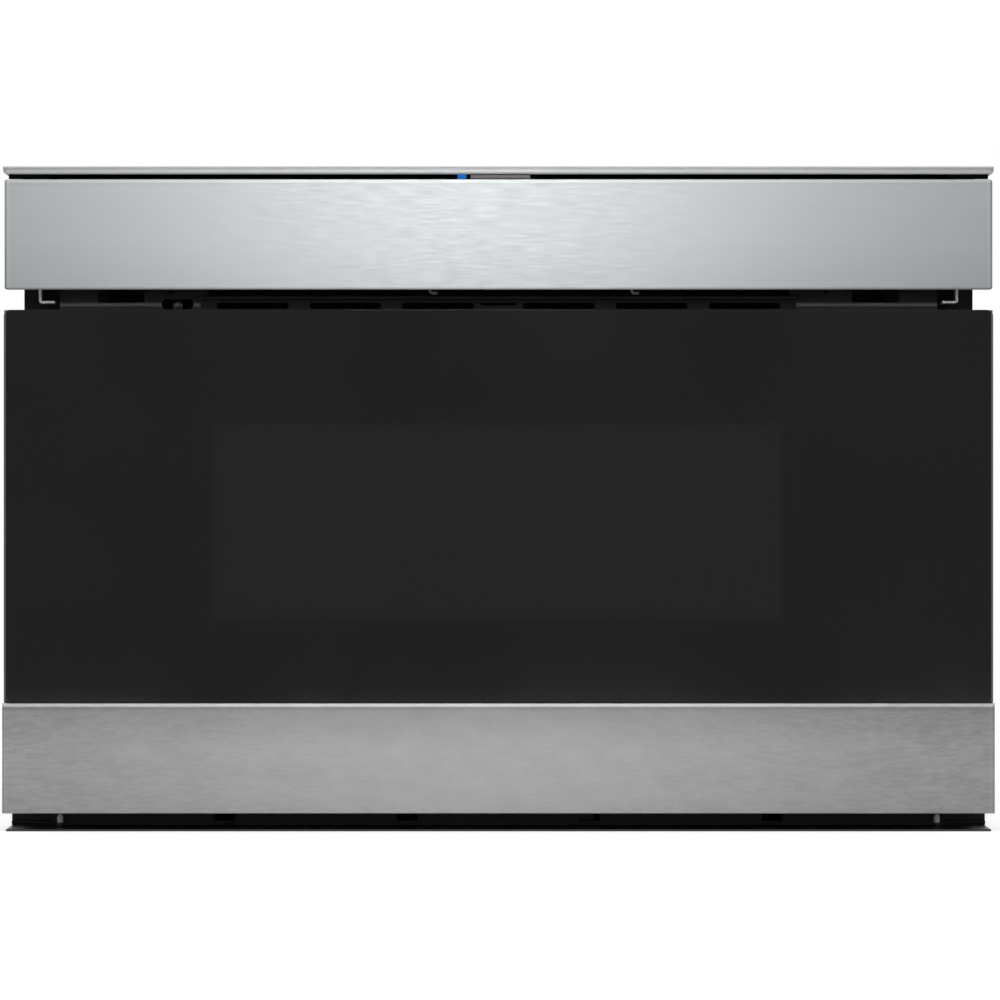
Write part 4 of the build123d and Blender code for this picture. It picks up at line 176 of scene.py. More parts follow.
def inside_band(tree, position, low, high, soft=0.5 * MM):
    """1 between two places, 0 outside, with a soft edge."""
    rise = spread(tree, position, 0, 1, low - soft, low + soft)
    fall = spread(tree, position, 1, 0, high - soft, high + soft)
    return maths(tree, "MULTIPLY", rise, fall)


def blend_numbers(tree, factor, first, second):
    """A number between two numbers."""
    return read(tree, "Mix", "Result", {"Factor": factor, "A": first, "B": second})


def blend_colours(tree, factor, *colours):
    """A colour between two colours. The mix node's colour sockets are 6, 7 and output 2."""
    first, second = (
        colour if isinstance(colour, bpy.types.NodeSocket) else (*colour, 1.0)
        for colour in colours)
    return read(tree, "Mix", 2, {0: factor, 6: first, 7: second}, data_type="RGBA")


def grey(level):
    """A neutral colour."""
    return (level,) * 3


def shade(colour, factor):
    """A colour made darker or lighter."""
    return tuple(min(1.0, part * factor) for part in colour)


# %% Start, connect and raise a finish
FINISHES = {}


def start_finish(slot, name, **sockets):
    """A material for a slot or a solid: a Principled shader with plain numbers on its sockets."""
    material = bpy.data.materials.new(name)
    material.use_nodes = True
    tree = material.node_tree
    shader = tree.nodes["Principled BSDF"]
    for socket, value in sockets.items():
        shader.inputs[socket.replace("_", " ")].default_value = value
    FINISHES[slot] = material
    return tree, shader


def connect(tree, shader, **patterns):
    """Links patterns to a shader's sockets."""
    for socket, value in patterns.items():
        tree.links.new(value, shader.inputs[socket.replace("_", " ")])


def raise_surface(tree, shader, height, depth):
    """Bump from a height pattern, its depth in micrometres."""
    values = {"Height": height, "Strength": 1.0, "Distance": depth * MICRON}
    connect(tree, shader, Normal=read(tree, "Bump", "Normal", values))


# %% [markdown]
# ## Brushed steel
#
# The cap, the panel and the lower trim are stainless steel, ground along their width, so
# noise is stretched along X. Such steel mirrors sharply along the strokes and smears light
# across them. The shader's anisotropy does that, with its tangent set across the strokes.
# Light and shade are painted into the colour at a few heights and near the side folds:
# a painted highlight on each fold, with painted shade beside it and along lower edges.

# %% Grind the steel
BROAD_SHARE = 0.3
GRAIN_START, GRAIN_END = 0.48, 0.82
GLOSS_SPREAD = 0.03


def painted_light_along(tree, position, painted_levels):
    """Painted light and shade along a line, from pairs of a place in metres and a level."""
    places, painted_brightness = zip(*painted_levels)
    lowest, highest = min(painted_brightness), max(painted_brightness)
    share = spread(tree, position, 0, 1, places[0], places[-1])
    ramp = add_node(tree, "ValToRGB", {"Fac": share})
    stops = ramp.color_ramp.elements
    length = places[-1] - places[0]
    middle = [stops.new((place - places[0]) / length) for place in places[1:-1]]
    for stop, level in zip([stops[0], *middle, stops[-1]], painted_brightness):
        part = (level - lowest) / (highest - lowest)
        stop.color = (part, part, part, 1.0)
    return spread(tree, ramp.outputs["Color"], lowest, highest, 0, 1)


def brushed_steel(slot, name, colour, contrast, strokes, depth, roughness, anisotropy, painted_levels,
                  ends=None):
    """Steel ground along X. Strokes are cells per metre along and across, their depth in microns.

    painted_levels give painted light and shade at a few heights: painted highlights on the
    folds and painted shade beside them. Ends say the same for a few distances from the middle.
    """
    tree, steel = start_finish(
        slot, name, Metallic=1.0, Roughness=roughness, Anisotropic=anisotropy)
    along, across = strokes
    fine = noise(tree, (along, across, across), roughness=0.6)
    broad = noise(tree, (along / 3, across / 6, across / 6), detail=1.0)
    both = maths(tree, "MULTIPLY_ADD", broad, BROAD_SHARE, fine)
    grain = spread(tree, both, 0, 1, GRAIN_START, GRAIN_END)
    ground = blend_colours(tree, grain, shade(colour, 1 - contrast), shade(colour, 1 + contrast))
    # Painted light and shade by height, and near the side folds where ends are given.
    painted_brightness = painted_light_along(tree, place_along(tree, "Z"), painted_levels)
    if ends:
        from_middle = maths(tree, "ABSOLUTE", place_along(tree, "X"))
        painted_brightness = maths(tree, "MULTIPLY", painted_brightness, painted_light_along(tree, from_middle, ends))
    base = read(tree, "VectorMath", 0, {0: ground, "Scale": painted_brightness}, operation="SCALE")
    gloss = spread(tree, fine, roughness - GLOSS_SPREAD, roughness + GLOSS_SPREAD)
    across_strokes = read(tree, "CombineXYZ", 0, {"X": 0.0, "Y": 1.0, "Z": 1.0})
    connect(tree, steel, Base_Color=base, Roughness=gloss, Tangent=across_strokes)
    raise_surface(tree, steel, fine, depth)


# %% Say where light and shade are painted on the steel
def painted_light_by_height(node, from_low, from_top):
    """Painted light levels of a piece, their places in mm up from its low edge and down from its
    top.
    """
    low, top = (corner.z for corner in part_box(node))
    return ([(low + up * MM, level) for up, level in from_low]
            + [(top - down * MM, level) for down, level in from_top])


def painted_fold_ends(node, light, dark):
    """A painted highlight near the side folds of a piece, then painted shade at the edge."""
    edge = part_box(node)[1].x
    painted_levels = [(3.2, 1.0), (2.6, light), (1.6, light), (1.1, dark), (0.0, dark)]
    return [(edge - inwards * MM, level) for inwards, level in painted_levels]


# The panel's painted light: painted shade along its lower edge, lighter towards the top and a
# painted highlight on the top fold.
PANEL_PAINTED_LIGHT = painted_light_by_height(
    "panel_front", [(0.0, 0.35), (0.5, 0.42), (1.1, 0.72), (1.7, 0.88), (30.0, 1.0)],
    [(5.0, 1.07), (2.2, 1.02), (1.8, 1.27), (0.0, 1.27)])
# The trim's painted light: darker towards the bottom, painted shade under the top fold and a
# painted highlight on it.
TRIM_PAINTED_LIGHT = painted_light_by_height(
    "lower_trim", [(0.0, 0.92), (12.0, 1.0), (40.0, 1.03)],
    [(4.8, 0.84), (2.6, 0.64), (1.8, 1.6), (0.6, 1.75), (0.0, 1.3)])
# Panel steel with its painted light, and a painted highlight and shade at its side folds.
brushed_steel(
    "stainless", "panel_steel", (0.55, 0.57, 0.58), 0.02, (60, 1300), 0.1, 0.42, 0.9, PANEL_PAINTED_LIGHT,
    painted_fold_ends("panel_front", 1.07, 0.8))
# The cap is painted lighter over its lowest 2.4 mm and darker above: painted light and shade.
brushed_steel(
    "top_trim", "cap_steel", (0.48, 0.49, 0.5), 0.02, (60, 1300), 0.1, 0.42, 0.75,
    painted_light_by_height("top_trim", [(0.0, 1.15), (2.4, 1.15), (3.0, 0.86)], [(0.0, 0.86)]))
# Trim steel with its painted light, and a painted highlight and shade at its side folds.
brushed_steel(
    "lower_trim", "trim_steel", grey(0.405), 0.11, (130, 620), 0.8, 0.46, 0.84, TRIM_PAINTED_LIGHT,
    painted_fold_ends("lower_trim", 1.07, 0.9))
# The press bar is painted a little darker at the bottom and lighter at the top: painted light.
brushed_steel(
    "grey_satin", "satin_bar", (0.17, 0.165, 0.165), 0.05, (60, 1800), 0.5, 0.45, 0.4,
    painted_light_by_height("open_button", [(0.0, 0.98)], [(0.0, 1.02)]))

# %% [markdown]
# ## Zinc
#
# The case is galvanised sheet. Zinc freezes on it in flat crystals a few millimetres wide.
# A Voronoi pattern gives every crystal a number, which sets its colour and gloss. Small
# fittings are zinc plated: smoother, brighter and faintly yellowish in clouds.

# %% Zinc finishes
CRYSTALS = 190
SHEET_CLOUDS, SHEET_WAVES, SHEET_WAVE_DEPTH = 14, 60, 20
PLATE_CLOUDS, PLATE_GRAIN, PLATE_DEPTH = 45, 700, 3


def galvanised(slot, name, colour):
    """Sheet with flat zinc crystals."""
    tree, zinc = start_finish(slot, name, Metallic=0.85, Roughness=0.45)
    cells = texture(tree, "TexVoronoi", CRYSTALS, "Color")
    crystal = read(tree, "SeparateColor", 0, {"Color": cells})
    both = maths(tree, "MULTIPLY", crystal, noise(tree, SHEET_CLOUDS))
    tint = spread(tree, both, 0, 1, 0, 0.7)
    base = blend_colours(tree, tint, shade(colour, 0.92), shade(colour, 1.06))
    connect(tree, zinc, Base_Color=base, Roughness=spread(tree, crystal, 0.42, 0.49, 0, 1))
    raise_surface(tree, zinc, noise(tree, SHEET_WAVES), SHEET_WAVE_DEPTH)


def plated(slot, name, colour, tint, roughness):
    """Bright plating with a faint cloud of a second tint."""
    tree, plate = start_finish(slot, name, Metallic=1.0, Roughness=roughness)
    base = blend_colours(tree, spread(tree, noise(tree, PLATE_CLOUDS), 0, 1), colour, tint)
    fine = noise(tree, PLATE_GRAIN)
    gloss = spread(tree, fine, roughness - 0.06, roughness + 0.08)
    connect(tree, plate, Base_Color=base, Roughness=gloss)
    raise_surface(tree, plate, fine, PLATE_DEPTH)


galvanised("zinc_steel", "galvanised_sheet", (0.56, 0.57, 0.58))
plated("bright_zinc", "bright_zinc", grey(0.8), (0.76, 0.74, 0.66), 0.26)
plated("hinge_brackets", "bracket_zinc", (0.85, 0.85, 0.84), (0.82, 0.81, 0.78), 0.45)
plated("aluminium", "mill_aluminium", (0.78, 0.78, 0.79), (0.7, 0.7, 0.71), 0.34)
plated("motor_steel", "motor_steel", (0.4, 0.41, 0.42), (0.34, 0.34, 0.35), 0.42)

# %% [markdown]
# ## Paint, enamel, plastic and rubber
#
# These surfaces share one build: a base colour that drifts a little, a fine grain in the
# bump and a roughness that follows it. A powder coat has an orange peel of half a
# millimetre, moulded plastic a finer one, and enamel carries darker specks. A few pieces
# have zones of another colour. On the front frame they are painted shade behind the panel
# and at its ends and a painted highlight on the lip over the door, and the grille's rail
# has a painted highlight.

# %% Coated finishes
COLOUR_CLOUDS = 22
SPECK_START, SPECK_END = 0.5, 0.56
COAT_GLOSS_SPREAD = 0.05


def coated(slot, name, colour, roughness, grain, depth, drift=0.06, specks=None, coat=0.0,
           shine=0.5, zones=()):
    """Paint or plastic with a grain of so many cells per metre and a depth in microns.

    Specks are their colour, their cells per metre and how rare they are. Zones are bands
    along one axis with another colour, on some pieces painted shade and painted highlights.
    A fifth number makes a band's edge softer.
    """
    tree, paint = start_finish(
        slot, name, Roughness=roughness, Coat_Weight=coat, Specular_IOR_Level=shine)
    cloud = spread(tree, noise(tree, COLOUR_CLOUDS), 0, 1)
    base = blend_colours(tree, cloud, shade(colour, 1 - drift), shade(colour, 1 + drift))
    if specks:
        speck_colour, per_metre, rare = specks
        dots = noise(tree, per_metre, detail=1.0)
        mask = spread(tree, dots, 0, 1, SPECK_START + rare, SPECK_END + rare)
        base = blend_colours(tree, mask, base, speck_colour)
    for axis, low, high, zone_colour, *soft in zones:
        mask = inside_band(tree, place_along(tree, axis), low, high, *soft)
        base = blend_colours(tree, mask, base, zone_colour)
    height = noise(tree, grain)
    gloss = spread(tree, height, roughness - COAT_GLOSS_SPREAD, roughness + COAT_GLOSS_SPREAD)
    connect(tree, paint, Base_Color=base, Roughness=gloss)
    raise_surface(tree, paint, height, depth)


# %% Paints
TOE_FRONT_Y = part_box("toe_rail")[0].y
DOOR_TOP_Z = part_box("door_glass")[1].z
FLANGE_END = 0.2722
FLANGE_REACH = 0.35
# A painted highlight on the frame's lip over the door.
PAINTED_LIP_HIGHLIGHT = grey(0.4)
# Painted shade at the frame's ends, near black.
PAINTED_END_SHADE = grey(0.004)
# Painted shade on the frame where the panel above shades it, with a soft edge.
PAINTED_PANEL_SHADE = grey(0.03)
PAINTED_PANEL_SHADE_SOFT = 3.5 * MM


def painted_light_over_door(low, high, colour, *soft):
    """A band of painted light between two heights over the door glass, in mm."""
    return ("Z", DOOR_TOP_Z + low * MM, DOOR_TOP_Z + high * MM, colour, *soft)


coated("black_steel", "black_powder_coat", (0.018, 0.018, 0.019), 0.5, 1800, 30)
coated(
    "toe_rail", "toe_rail_paint", grey(0.008), 0.4, 1500, 10, shine=0.25,
    zones=[("Y", TOE_FRONT_Y - 1.0 * MM, TOE_FRONT_Y + 0.8 * MM, grey(0.05))])
# Flange paint with painted shade behind the panel and at its ends, and a painted highlight on the
# lip.
coated(
    "front_frame", "flange_paint", (0.08, 0.08, 0.082), 0.5, 1500, 10, shine=0.2, zones=[
        painted_light_over_door(9.0, 50.0, PAINTED_PANEL_SHADE, PAINTED_PANEL_SHADE_SOFT),
        painted_light_over_door(3.7, 5.8, PAINTED_LIP_HIGHLIGHT),
        ("X", FLANGE_END, FLANGE_REACH, PAINTED_END_SHADE), ("X", -FLANGE_REACH, -FLANGE_END, PAINTED_END_SHADE)])
coated("door_frame", "door_frame_paint", grey(0.1), 0.4, 1500, 20)
coated("door_screen", "screen_paint", grey(0.26), 0.5, 1500, 10)

# %% Enamel, plastic, rubber, mica and ceramic
MOULDED_BLACK = (0.014, 0.014, 0.015)
coated(
    "cavity_enamel", "grey_enamel", (0.5, 0.51, 0.52), 0.3, 240, 20,
    specks=((0.2, 0.2, 0.21), 900, 0.14), coat=0.3)
# The carrier's end blocks are near black with almost no gloss: painted shade for the dark gap at
# the panel's ends.
coated("trim_carrier", "painted_gap_shade_black", grey(0.003), 0.8, 2600, 20, shine=0.02)
coated("black_plastic", "moulded_black", MOULDED_BLACK, 0.55, 2600, 20)
# The grille's rail has a painted highlight: a paler band along its rounded front.
coated(
    "vent_grille", "grille_black", MOULDED_BLACK, 0.55, 2600, 20,
    zones=[painted_light_over_door(8.2, 10.6, grey(0.055))])
coated("hook_clips", "hook_nylon", (0.55, 0.55, 0.54), 0.4, 900, 10, drift=0.02)
coated("white_plastic", "moulded_white", (0.82, 0.82, 0.8), 0.4, 1800, 10, drift=0.02)
coated("white_nylon", "white_nylon", (0.78, 0.77, 0.72), 0.38, 900, 10, drift=0.03)
coated("rubber", "soft_rubber", grey(0.015), 0.8, 1400, 40, shine=0.15)
coated(
    "stop_pins", "stop_pin_nylon", (0.93, 0.93, 0.91), 0.3, 900, 10, drift=0.02,
    zones=[("Z", -1.0 * MM, 3.4 * MM, grey(0.02))])
coated(
    "mica", "pressed_mica", (0.6, 0.54, 0.4), 0.35, 500, 30, drift=0.1,
    specks=((0.85, 0.8, 0.66), 260, 0.06))
coated(
    "ceramic_glass", "ceramic_plate", (0.74, 0.73, 0.68), 0.22, 300, 10, drift=0.02,
    specks=((0.5, 0.48, 0.42), 1100, 0.17), coat=0.2)

# %% [markdown]
# ## Electrical parts
#
# Transformer steel is a stack of thin sheets, so bands run along one axis. A circuit board
# is green lacquer over copper tracks that run square to each other, so noise chooses
# between two band patterns. The status light is a light pipe that glows.

# %% Electrical finishes
SHEETS = 1000
BOARD_REGIONS, BOARD_TRACKS = 70, 120
LIGHT_CLOUDS = 260


def laminated(slot, name, colour):
    """A stack of thin sheets along Y."""
    tree, stack = start_finish(slot, name, Metallic=0.6, Roughness=0.45)
    sheets = texture(tree, "TexWave", (1, SHEETS, 1), bands_direction="Y")
    base = blend_colours(tree, sheets, shade(colour, 0.6), shade(colour, 1.25))
    connect(tree, stack, Base_Color=base)
    raise_surface(tree, stack, sheets, 50)


def circuit_board(slot, name, lacquer, track):
    """Green lacquer with raised tracks in two directions."""
    tree, board = start_finish(slot, name, Roughness=0.32)
    region = spread(tree, noise(tree, BOARD_REGIONS), 0, 1, 0.49, 0.51)
    along_x, along_y = (
        spread(tree, texture(tree, "TexWave", BOARD_TRACKS, bands_direction=axis), 0, 1, 0.72, 0.78)
        for axis in ("X", "Y"))
    either = blend_numbers(tree, region, along_x, along_y)
    connect(tree, board, Base_Color=blend_colours(tree, either, lacquer, track))
    raise_surface(tree, board, either, 40)


def light_pipe(slot, name, colour):
    """A dark blue plastic that glows, a little unevenly."""
    tree, pipe = start_finish(
        slot, name, Roughness=0.4, Emission_Strength=1.0, Specular_IOR_Level=0.2)
    cloud = spread(tree, noise(tree, LIGHT_CLOUDS), 0, 1)
    glow = blend_colours(tree, cloud, shade(colour, 0.85), colour)
    body = blend_colours(tree, cloud, shade(colour, 0.1), shade(colour, 0.14))
    connect(tree, pipe, Emission_Color=glow, Base_Color=body)


laminated("core_steel", "laminated_core", (0.16, 0.16, 0.17))
circuit_board("board_green", "circuit_board", (0.02, 0.13, 0.05), (0.05, 0.24, 0.1))
light_pipe("blue_light", "status_light_blue", (0.0, 0.11, 0.44))

# %% [markdown]
# ## Glass
#
# The door is one sheet of black glass, printed black behind except at the window, where a
# tint lets a little light through to the perforated screen. So the material is opaque black
# with a rectangle of lower alpha. The faint line round the window is the edge of a second
# layer of print.

# %% Glass finishes
OUTLINE = (0.1828, 0.124, 0.2592)
OUTLINE_WIDTH = 0.8 * MM
OUTLINE_SOFT = 0.3 * MM
WINDOW = (0.1735, 0.131, 0.2488)
WINDOW_SOFT = 2.0 * MM
GLASS_SMEARS, PANE_SMEARS = 9, 12


def in_rectangle(tree, rectangle, soft, inset=0.0):
    """1 inside a rectangle in the glass's plane, given by its half width, bottom and top."""
    half_width, low, high = rectangle
    reach = half_width - inset
    across = inside_band(tree, place_along(tree, "X"), -reach, reach, soft)
    upright = inside_band(tree, place_along(tree, "Z"), low + inset, high - inset, soft)
    return maths(tree, "MULTIPLY", across, upright)


def black_glass(slot, name, window_alpha=None):
    """Black gloss, with a tinted window and its outline where an alpha is given."""
    tree, glass = start_finish(slot, name, Roughness=0.04, IOR=1.5)
    smear = noise(tree, GLASS_SMEARS, detail=3.0)
    cloud = spread(tree, smear, 0, 1)
    base = blend_colours(tree, cloud, (0.0086, 0.0086, 0.0088), (0.0098, 0.0098, 0.01))
    if window_alpha is not None:
        outer = in_rectangle(tree, OUTLINE, OUTLINE_SOFT)
        inner = in_rectangle(tree, OUTLINE, OUTLINE_SOFT, OUTLINE_WIDTH)
        line = maths(tree, "SUBTRACT", outer, inner)
        base = blend_colours(tree, line, base, grey(0.012))
        window = in_rectangle(tree, WINDOW, WINDOW_SOFT)
        base = blend_colours(tree, window, base, grey(0.017))
        connect(tree, glass, Alpha=spread(tree, window, 1.0, window_alpha, 0, 1))
    connect(tree, glass, Base_Color=base, Roughness=spread(tree, smear, 0.03, 0.07))


def clear_glass(slot, name):
    """A thin clear pane with a faint green tint and a few smears."""
    tree, pane = start_finish(slot, name, Roughness=0.03, IOR=1.5, Alpha=0.3)
    smear = spread(tree, noise(tree, PANE_SMEARS), 0, 1)
    base = blend_colours(tree, smear, (0.5, 0.56, 0.54), (0.6, 0.65, 0.63))
    connect(tree, pane, Base_Color=base)


black_glass("black_glass", "touch_panel_glass")
black_glass("door_glass", "door_glass_tint", window_alpha=0.82)
clear_glass("clear_glass", "inner_pane")

# %% [markdown]
# ## Dress the solids
#
# Every solid gets the finish of its slot in the record. A few, such as the cap and the
# trim, look different in the photograph. Their own finish goes by the solid's name.

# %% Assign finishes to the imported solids
FINISHES["drive_motor"] = FINISHES["black_steel"]


def finish_of(node):
    """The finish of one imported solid: its own, or else its slot's."""
    return FINISHES.get(node) or FINISHES[SLOT_OF[node]]


for node, item in NODES.items():
    item.data.materials.clear()
    item.data.materials.append(finish_of(node))
print(len(NODES), "solids dressed")

# %% [markdown]
# ## Dulled edges
#
# Folded sheet has no sharp edges: each fold has a radius, and each cut edge is dulled. In a
# picture those are thin bright lines. A copy of the solid is merged, its flat triangles are
# joined and its sharp edges bevelled, and it stands in for the solid.

# %% Helpers for meshes
MERGE = 0.002 * MM
FLAT_ANGLE = math.radians(0.5)
SHARP_ANGLE = math.radians(35)
SMOOTH_ANGLE = math.radians(28)


def smooth_by_angle(mesh):
    """Smooth shading that stays crisp at corners."""
    mesh.shade_smooth()
    mesh.set_sharp_from_angle(angle=SMOOTH_ANGLE)


def as_piece(name, form, finish):
    """An object at the origin out of an edit mesh."""
    mesh = bpy.data.meshes.new(name)
    form.to_mesh(mesh)
    form.free()
    smooth_by_angle(mesh)
    mesh.materials.append(finish)
    return add_object(name, mesh)


def stand_in_for(piece, node):
    """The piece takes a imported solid's place, with its body."""
    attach(piece, BODY_OF[node])
    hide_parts(node)


def dulled_copy(node, width, steps):
    """A copy of a solid with its sharp edges bevelled, which stands in for it."""
    form = bmesh.new()
    form.from_mesh(NODES[node].data)
    bmesh.ops.remove_doubles(form, verts=form.verts, dist=MERGE)
    bmesh.ops.dissolve_limit(form, angle_limit=FLAT_ANGLE, verts=form.verts, edges=form.edges)
    sharp = [edge for edge in form.edges
             if len(edge.link_faces) == 2 and edge.calc_face_angle(0.0) > SHARP_ANGLE]
    bmesh.ops.bevel(form, geom=sharp, offset=width, segments=steps, profile=0.5,
                    affect="EDGES", clamp_overlap=True)
    bmesh.ops.triangulate(form, faces=[face for face in form.faces if len(face.verts) > 4])
    piece = as_piece(node + "_rounded", form, finish_of(node))
    piece.modifiers.new("weighted_normal", "WEIGHTED_NORMAL").keep_sharp = True
    stand_in_for(piece, node)


# %% Dull the solids' edges
ROUND_STEPS, GROUND_STEPS = 2, 1
EDGE_MM = {
    "panel_front": 0.25, "lower_trim": 0.2, "top_trim": 0.2, "door_frame": 0.25,
    "toe_rail": 0.3, "stop_pins": 0.2, "hinge_brackets": 0.3, "front_frame": 0.2,
    "outer_case": 0.35, "back_panel": 0.3, "vent_grille": 0.3, "choke_cover": 0.5,
    "drawer_tub": 0.35, "floor_plate": 1.2, "touch_glass": 0.3, "open_button": 0.4,
    "panel_housing": 0.4, "rear_crossbar": 0.4, "door_brackets": 0.3, "tilt_motor": 0.4,
    "door_glass": 0.08,
}
for node, width in EDGE_MM.items():
    dulled_copy(node, width * MM, GROUND_STEPS if node == "door_glass" else ROUND_STEPS)
print(len(EDGE_MM), "solids with dulled edges")

# %% [markdown]
# ## Repeats on points
#
# Screws, beads and louvre hoods repeat. One of each is modelled, and a Geometry Nodes tree
# puts a copy on every point. The tree has named inputs for the piece, its size and its turn.
# It ends in Realize Instances and Set Material, and the result is turned into a plain mesh.


# %% Start, end and run a geometry tree
def new_tree(name, inputs):
    """A geometry tree with named inputs. Returns the tree, its inputs and their sockets."""
    tree = bpy.data.node_groups.new(name, "GeometryNodeTree")
    sockets = {}
    for label, kind in {"Geometry": "Geometry", **inputs}.items():
        sockets[label] = tree.interface.new_socket(
            name=label, in_out="INPUT", socket_type="NodeSocket" + kind)
    tree.interface.new_socket(name="Geometry", in_out="OUTPUT", socket_type="NodeSocketGeometry")
    return tree, tree.nodes.new("NodeGroupInput").outputs, sockets


def end_tree(tree, geometry, material):
    """The last nodes of a tree: real copies, with their material."""
    real = read(tree, "RealizeInstances", 0, {"Geometry": geometry})
    dressed = read(tree, "SetMaterial", 0, {"Geometry": real, "Material": material})
    add_node(tree, "NodeGroupOutput", {0: dressed})


def evaluated_mesh(item):
    """What its modifiers or its text make of an object, as a plain mesh."""
    bpy.context.view_layer.update()
    evaluated = item.evaluated_get(bpy.context.evaluated_depsgraph_get())
    return bpy.data.meshes.new_from_object(evaluated)


def grow(name, base_mesh, grower, values):
    """Runs a tree on a mesh and returns the result as a plain object at the origin."""
    tree, sockets = grower
    source = add_object(name + "_source", base_mesh)
    modifier = source.modifiers.new("grow", "NODES")
    modifier.node_group = tree
    for label, value in values.items():
        modifier[sockets[label].identifier] = value
    mesh = evaluated_mesh(source)
    mesh.name = name
    source.modifiers.remove(modifier)
    bpy.data.objects.remove(source)
    smooth_by_angle(mesh)
    return add_object(name, mesh)


# %% The tree that puts a piece on points
def points_tree():
    """Puts a copy of a piece on every point."""
    tree, given, sockets = new_tree("copies_on_points", {
        "Piece": "Object", "Turn": "Vector", "Size": "Float", "Finish": "Material"})
    piece = read(tree, "ObjectInfo", "Geometry", {"Object": given["Piece"]})
    turn = read(tree, "FunctionNodeEulerToRotation", 0, {"Euler": given["Turn"]})
    copies = read(tree, "InstanceOnPoints", 0, {
        "Points": given["Geometry"], "Instance": piece, "Rotation": turn, "Scale": given["Size"]})
    end_tree(tree, copies, given["Finish"])
    return tree, sockets


POINTS_TREE = points_tree()


def repeat_on_case(name, single, places, turn, slot):
    """Copies of a single piece on places of the case, as one piece."""
    points = bpy.data.meshes.new(name + "_places")
    points.from_pydata(places, [], [])
    piece = grow(name, points, POINTS_TREE, {
        "Piece": single, "Turn": turn, "Size": 1.0, "Finish": FINISHES[slot]})
    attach(piece, "case")
    print(name, len(places), "copies,", len(piece.data.polygons), "faces")


# %% [markdown]
# ## Screws
#
# The case is held by sheet-metal screws. Their head is a dome whose flat top has a cross
# pushed in, so it is a real recess. Its axis is Z, and the tree turns it to face out of
# each wall.


# %% Helpers for rings of corners
def on_circle(radius, angle):
    """A point on a circle round the origin."""
    return radius * math.cos(angle), radius * math.sin(angle)


def ring_of(form, outline, z):
    """Vertices at one height over the corners of an outline."""
    return [form.verts.new((x, y, z)) for x, y in outline]


def join_rings(form, lower, upper):
    """Faces between two rings of as many vertices."""
    for step in range(len(lower)):
        after = (step + 1) % len(lower)
        form.faces.new((lower[step], lower[after], upper[after], upper[step]))


def face_outwards(form):
    """Turns all faces of a closed form outwards."""
    bmesh.ops.recalc_face_normals(form, faces=form.faces)


def loop_edges(form, ring):
    """The edges between neighbours of a ring of vertices."""
    pairs = zip(ring, [*ring[1:], ring[0]])
    return [form.edges.get(pair) or form.edges.new(pair) for pair in pairs]


# %% Model one screw head
SCREW_RADIUS = 3.9 * MM
SCREW_HEIGHT = 2.0 * MM
SCREW_SIDES = 24
SCREW_RINGS = ((1.0, 0.0), (1.0, 0.35), (0.93, 0.62), (0.78, 0.85), (0.6, 1.0))
RECESS_REACH = 2.2 * MM
RECESS_HALF_WIDTH = 0.55 * MM
RECESS_DEPTH = 1.2 * MM
RECESS_TAPER = 0.6
QUARTER = math.pi / 2


def cross_outline():
    """Twelve corners of a cross, counter-clockwise."""
    reach, half = RECESS_REACH, RECESS_HALF_WIDTH
    arm = [(reach, -half), (reach, half), (half, half)]
    turns = [Matrix.Rotation(quarter * QUARTER, 2) for quarter in range(4)]
    return [tuple(turn @ Vector(corner)) for turn in turns for corner in arm]


def screw_pattern():
    """A domed screw head with a cross recess."""
    form = bmesh.new()
    angles = [step * math.tau / SCREW_SIDES for step in range(SCREW_SIDES)]
    rings = [
        ring_of(form, [on_circle(SCREW_RADIUS * share, angle) for angle in angles],
                SCREW_HEIGHT * height)
        for share, height in SCREW_RINGS]
    for lower, upper in zip(rings, rings[1:]):
        join_rings(form, lower, upper)
    form.faces.new(list(reversed(rings[0])))
    cross = cross_outline()
    top = ring_of(form, cross, SCREW_HEIGHT)
    narrower = [(x * RECESS_TAPER, y * RECESS_TAPER) for x, y in cross]
    bottom = ring_of(form, narrower, SCREW_HEIGHT - RECESS_DEPTH)
    join_rings(form, bottom, top)
    form.faces.new(bottom)
    edges = loop_edges(form, rings[-1]) + loop_edges(form, top)
    bmesh.ops.triangle_fill(form, edges=edges, use_beauty=True, normal=(0, 0, 1))
    face_outwards(form)
    return as_piece("screw_pattern", form, FINISHES["bright_zinc"])


SCREW = screw_pattern()

# %% Put screws on the sides and the roof of the case
CASE_LOW, CASE_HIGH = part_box("outer_case")
SIDE_SCREW_Y = (-0.25, -0.06, 0.13, 0.296)
SIDE_SCREW_Z = (0.022, 0.35)
ROOF_SCREW_X = (-0.2, 0.0, 0.2)
ROOF_SCREW_Y = 0.298
SIDES = (("right", 1), ("left", -1))

for side, sign in SIDES:
    places = [(sign * CASE_HIGH.x, y, z) for y in SIDE_SCREW_Y for z in SIDE_SCREW_Z]
    repeat_on_case("case_screws_" + side, SCREW, places, (0, sign * QUARTER, 0), "bright_zinc")
places = [(x, ROOF_SCREW_Y, CASE_HIGH.z) for x in ROOF_SCREW_X]
repeat_on_case("case_screws_roof", SCREW, places, (0, 0, 0), "bright_zinc")

# %% [markdown]
# ## Louvre hoods
#
# Each cooling slot in the back panel was pressed, not cut: the metal above it bulges out as
# a small hood, so nothing drips in. One hood is a strip swept over a quarter of a circle.
# The tree repeats it down two columns at the slots' own pitch.

# %% Model one hood
HOOD_LENGTH = 90.0 * MM
HOOD_PROUD = 2.4 * MM
HOOD_HEIGHT = 3.6 * MM
HOOD_SHEET = 0.5 * MM
HOOD_SWELL = 0.35
HOOD_STEPS, HOOD_STATIONS = 6, 12


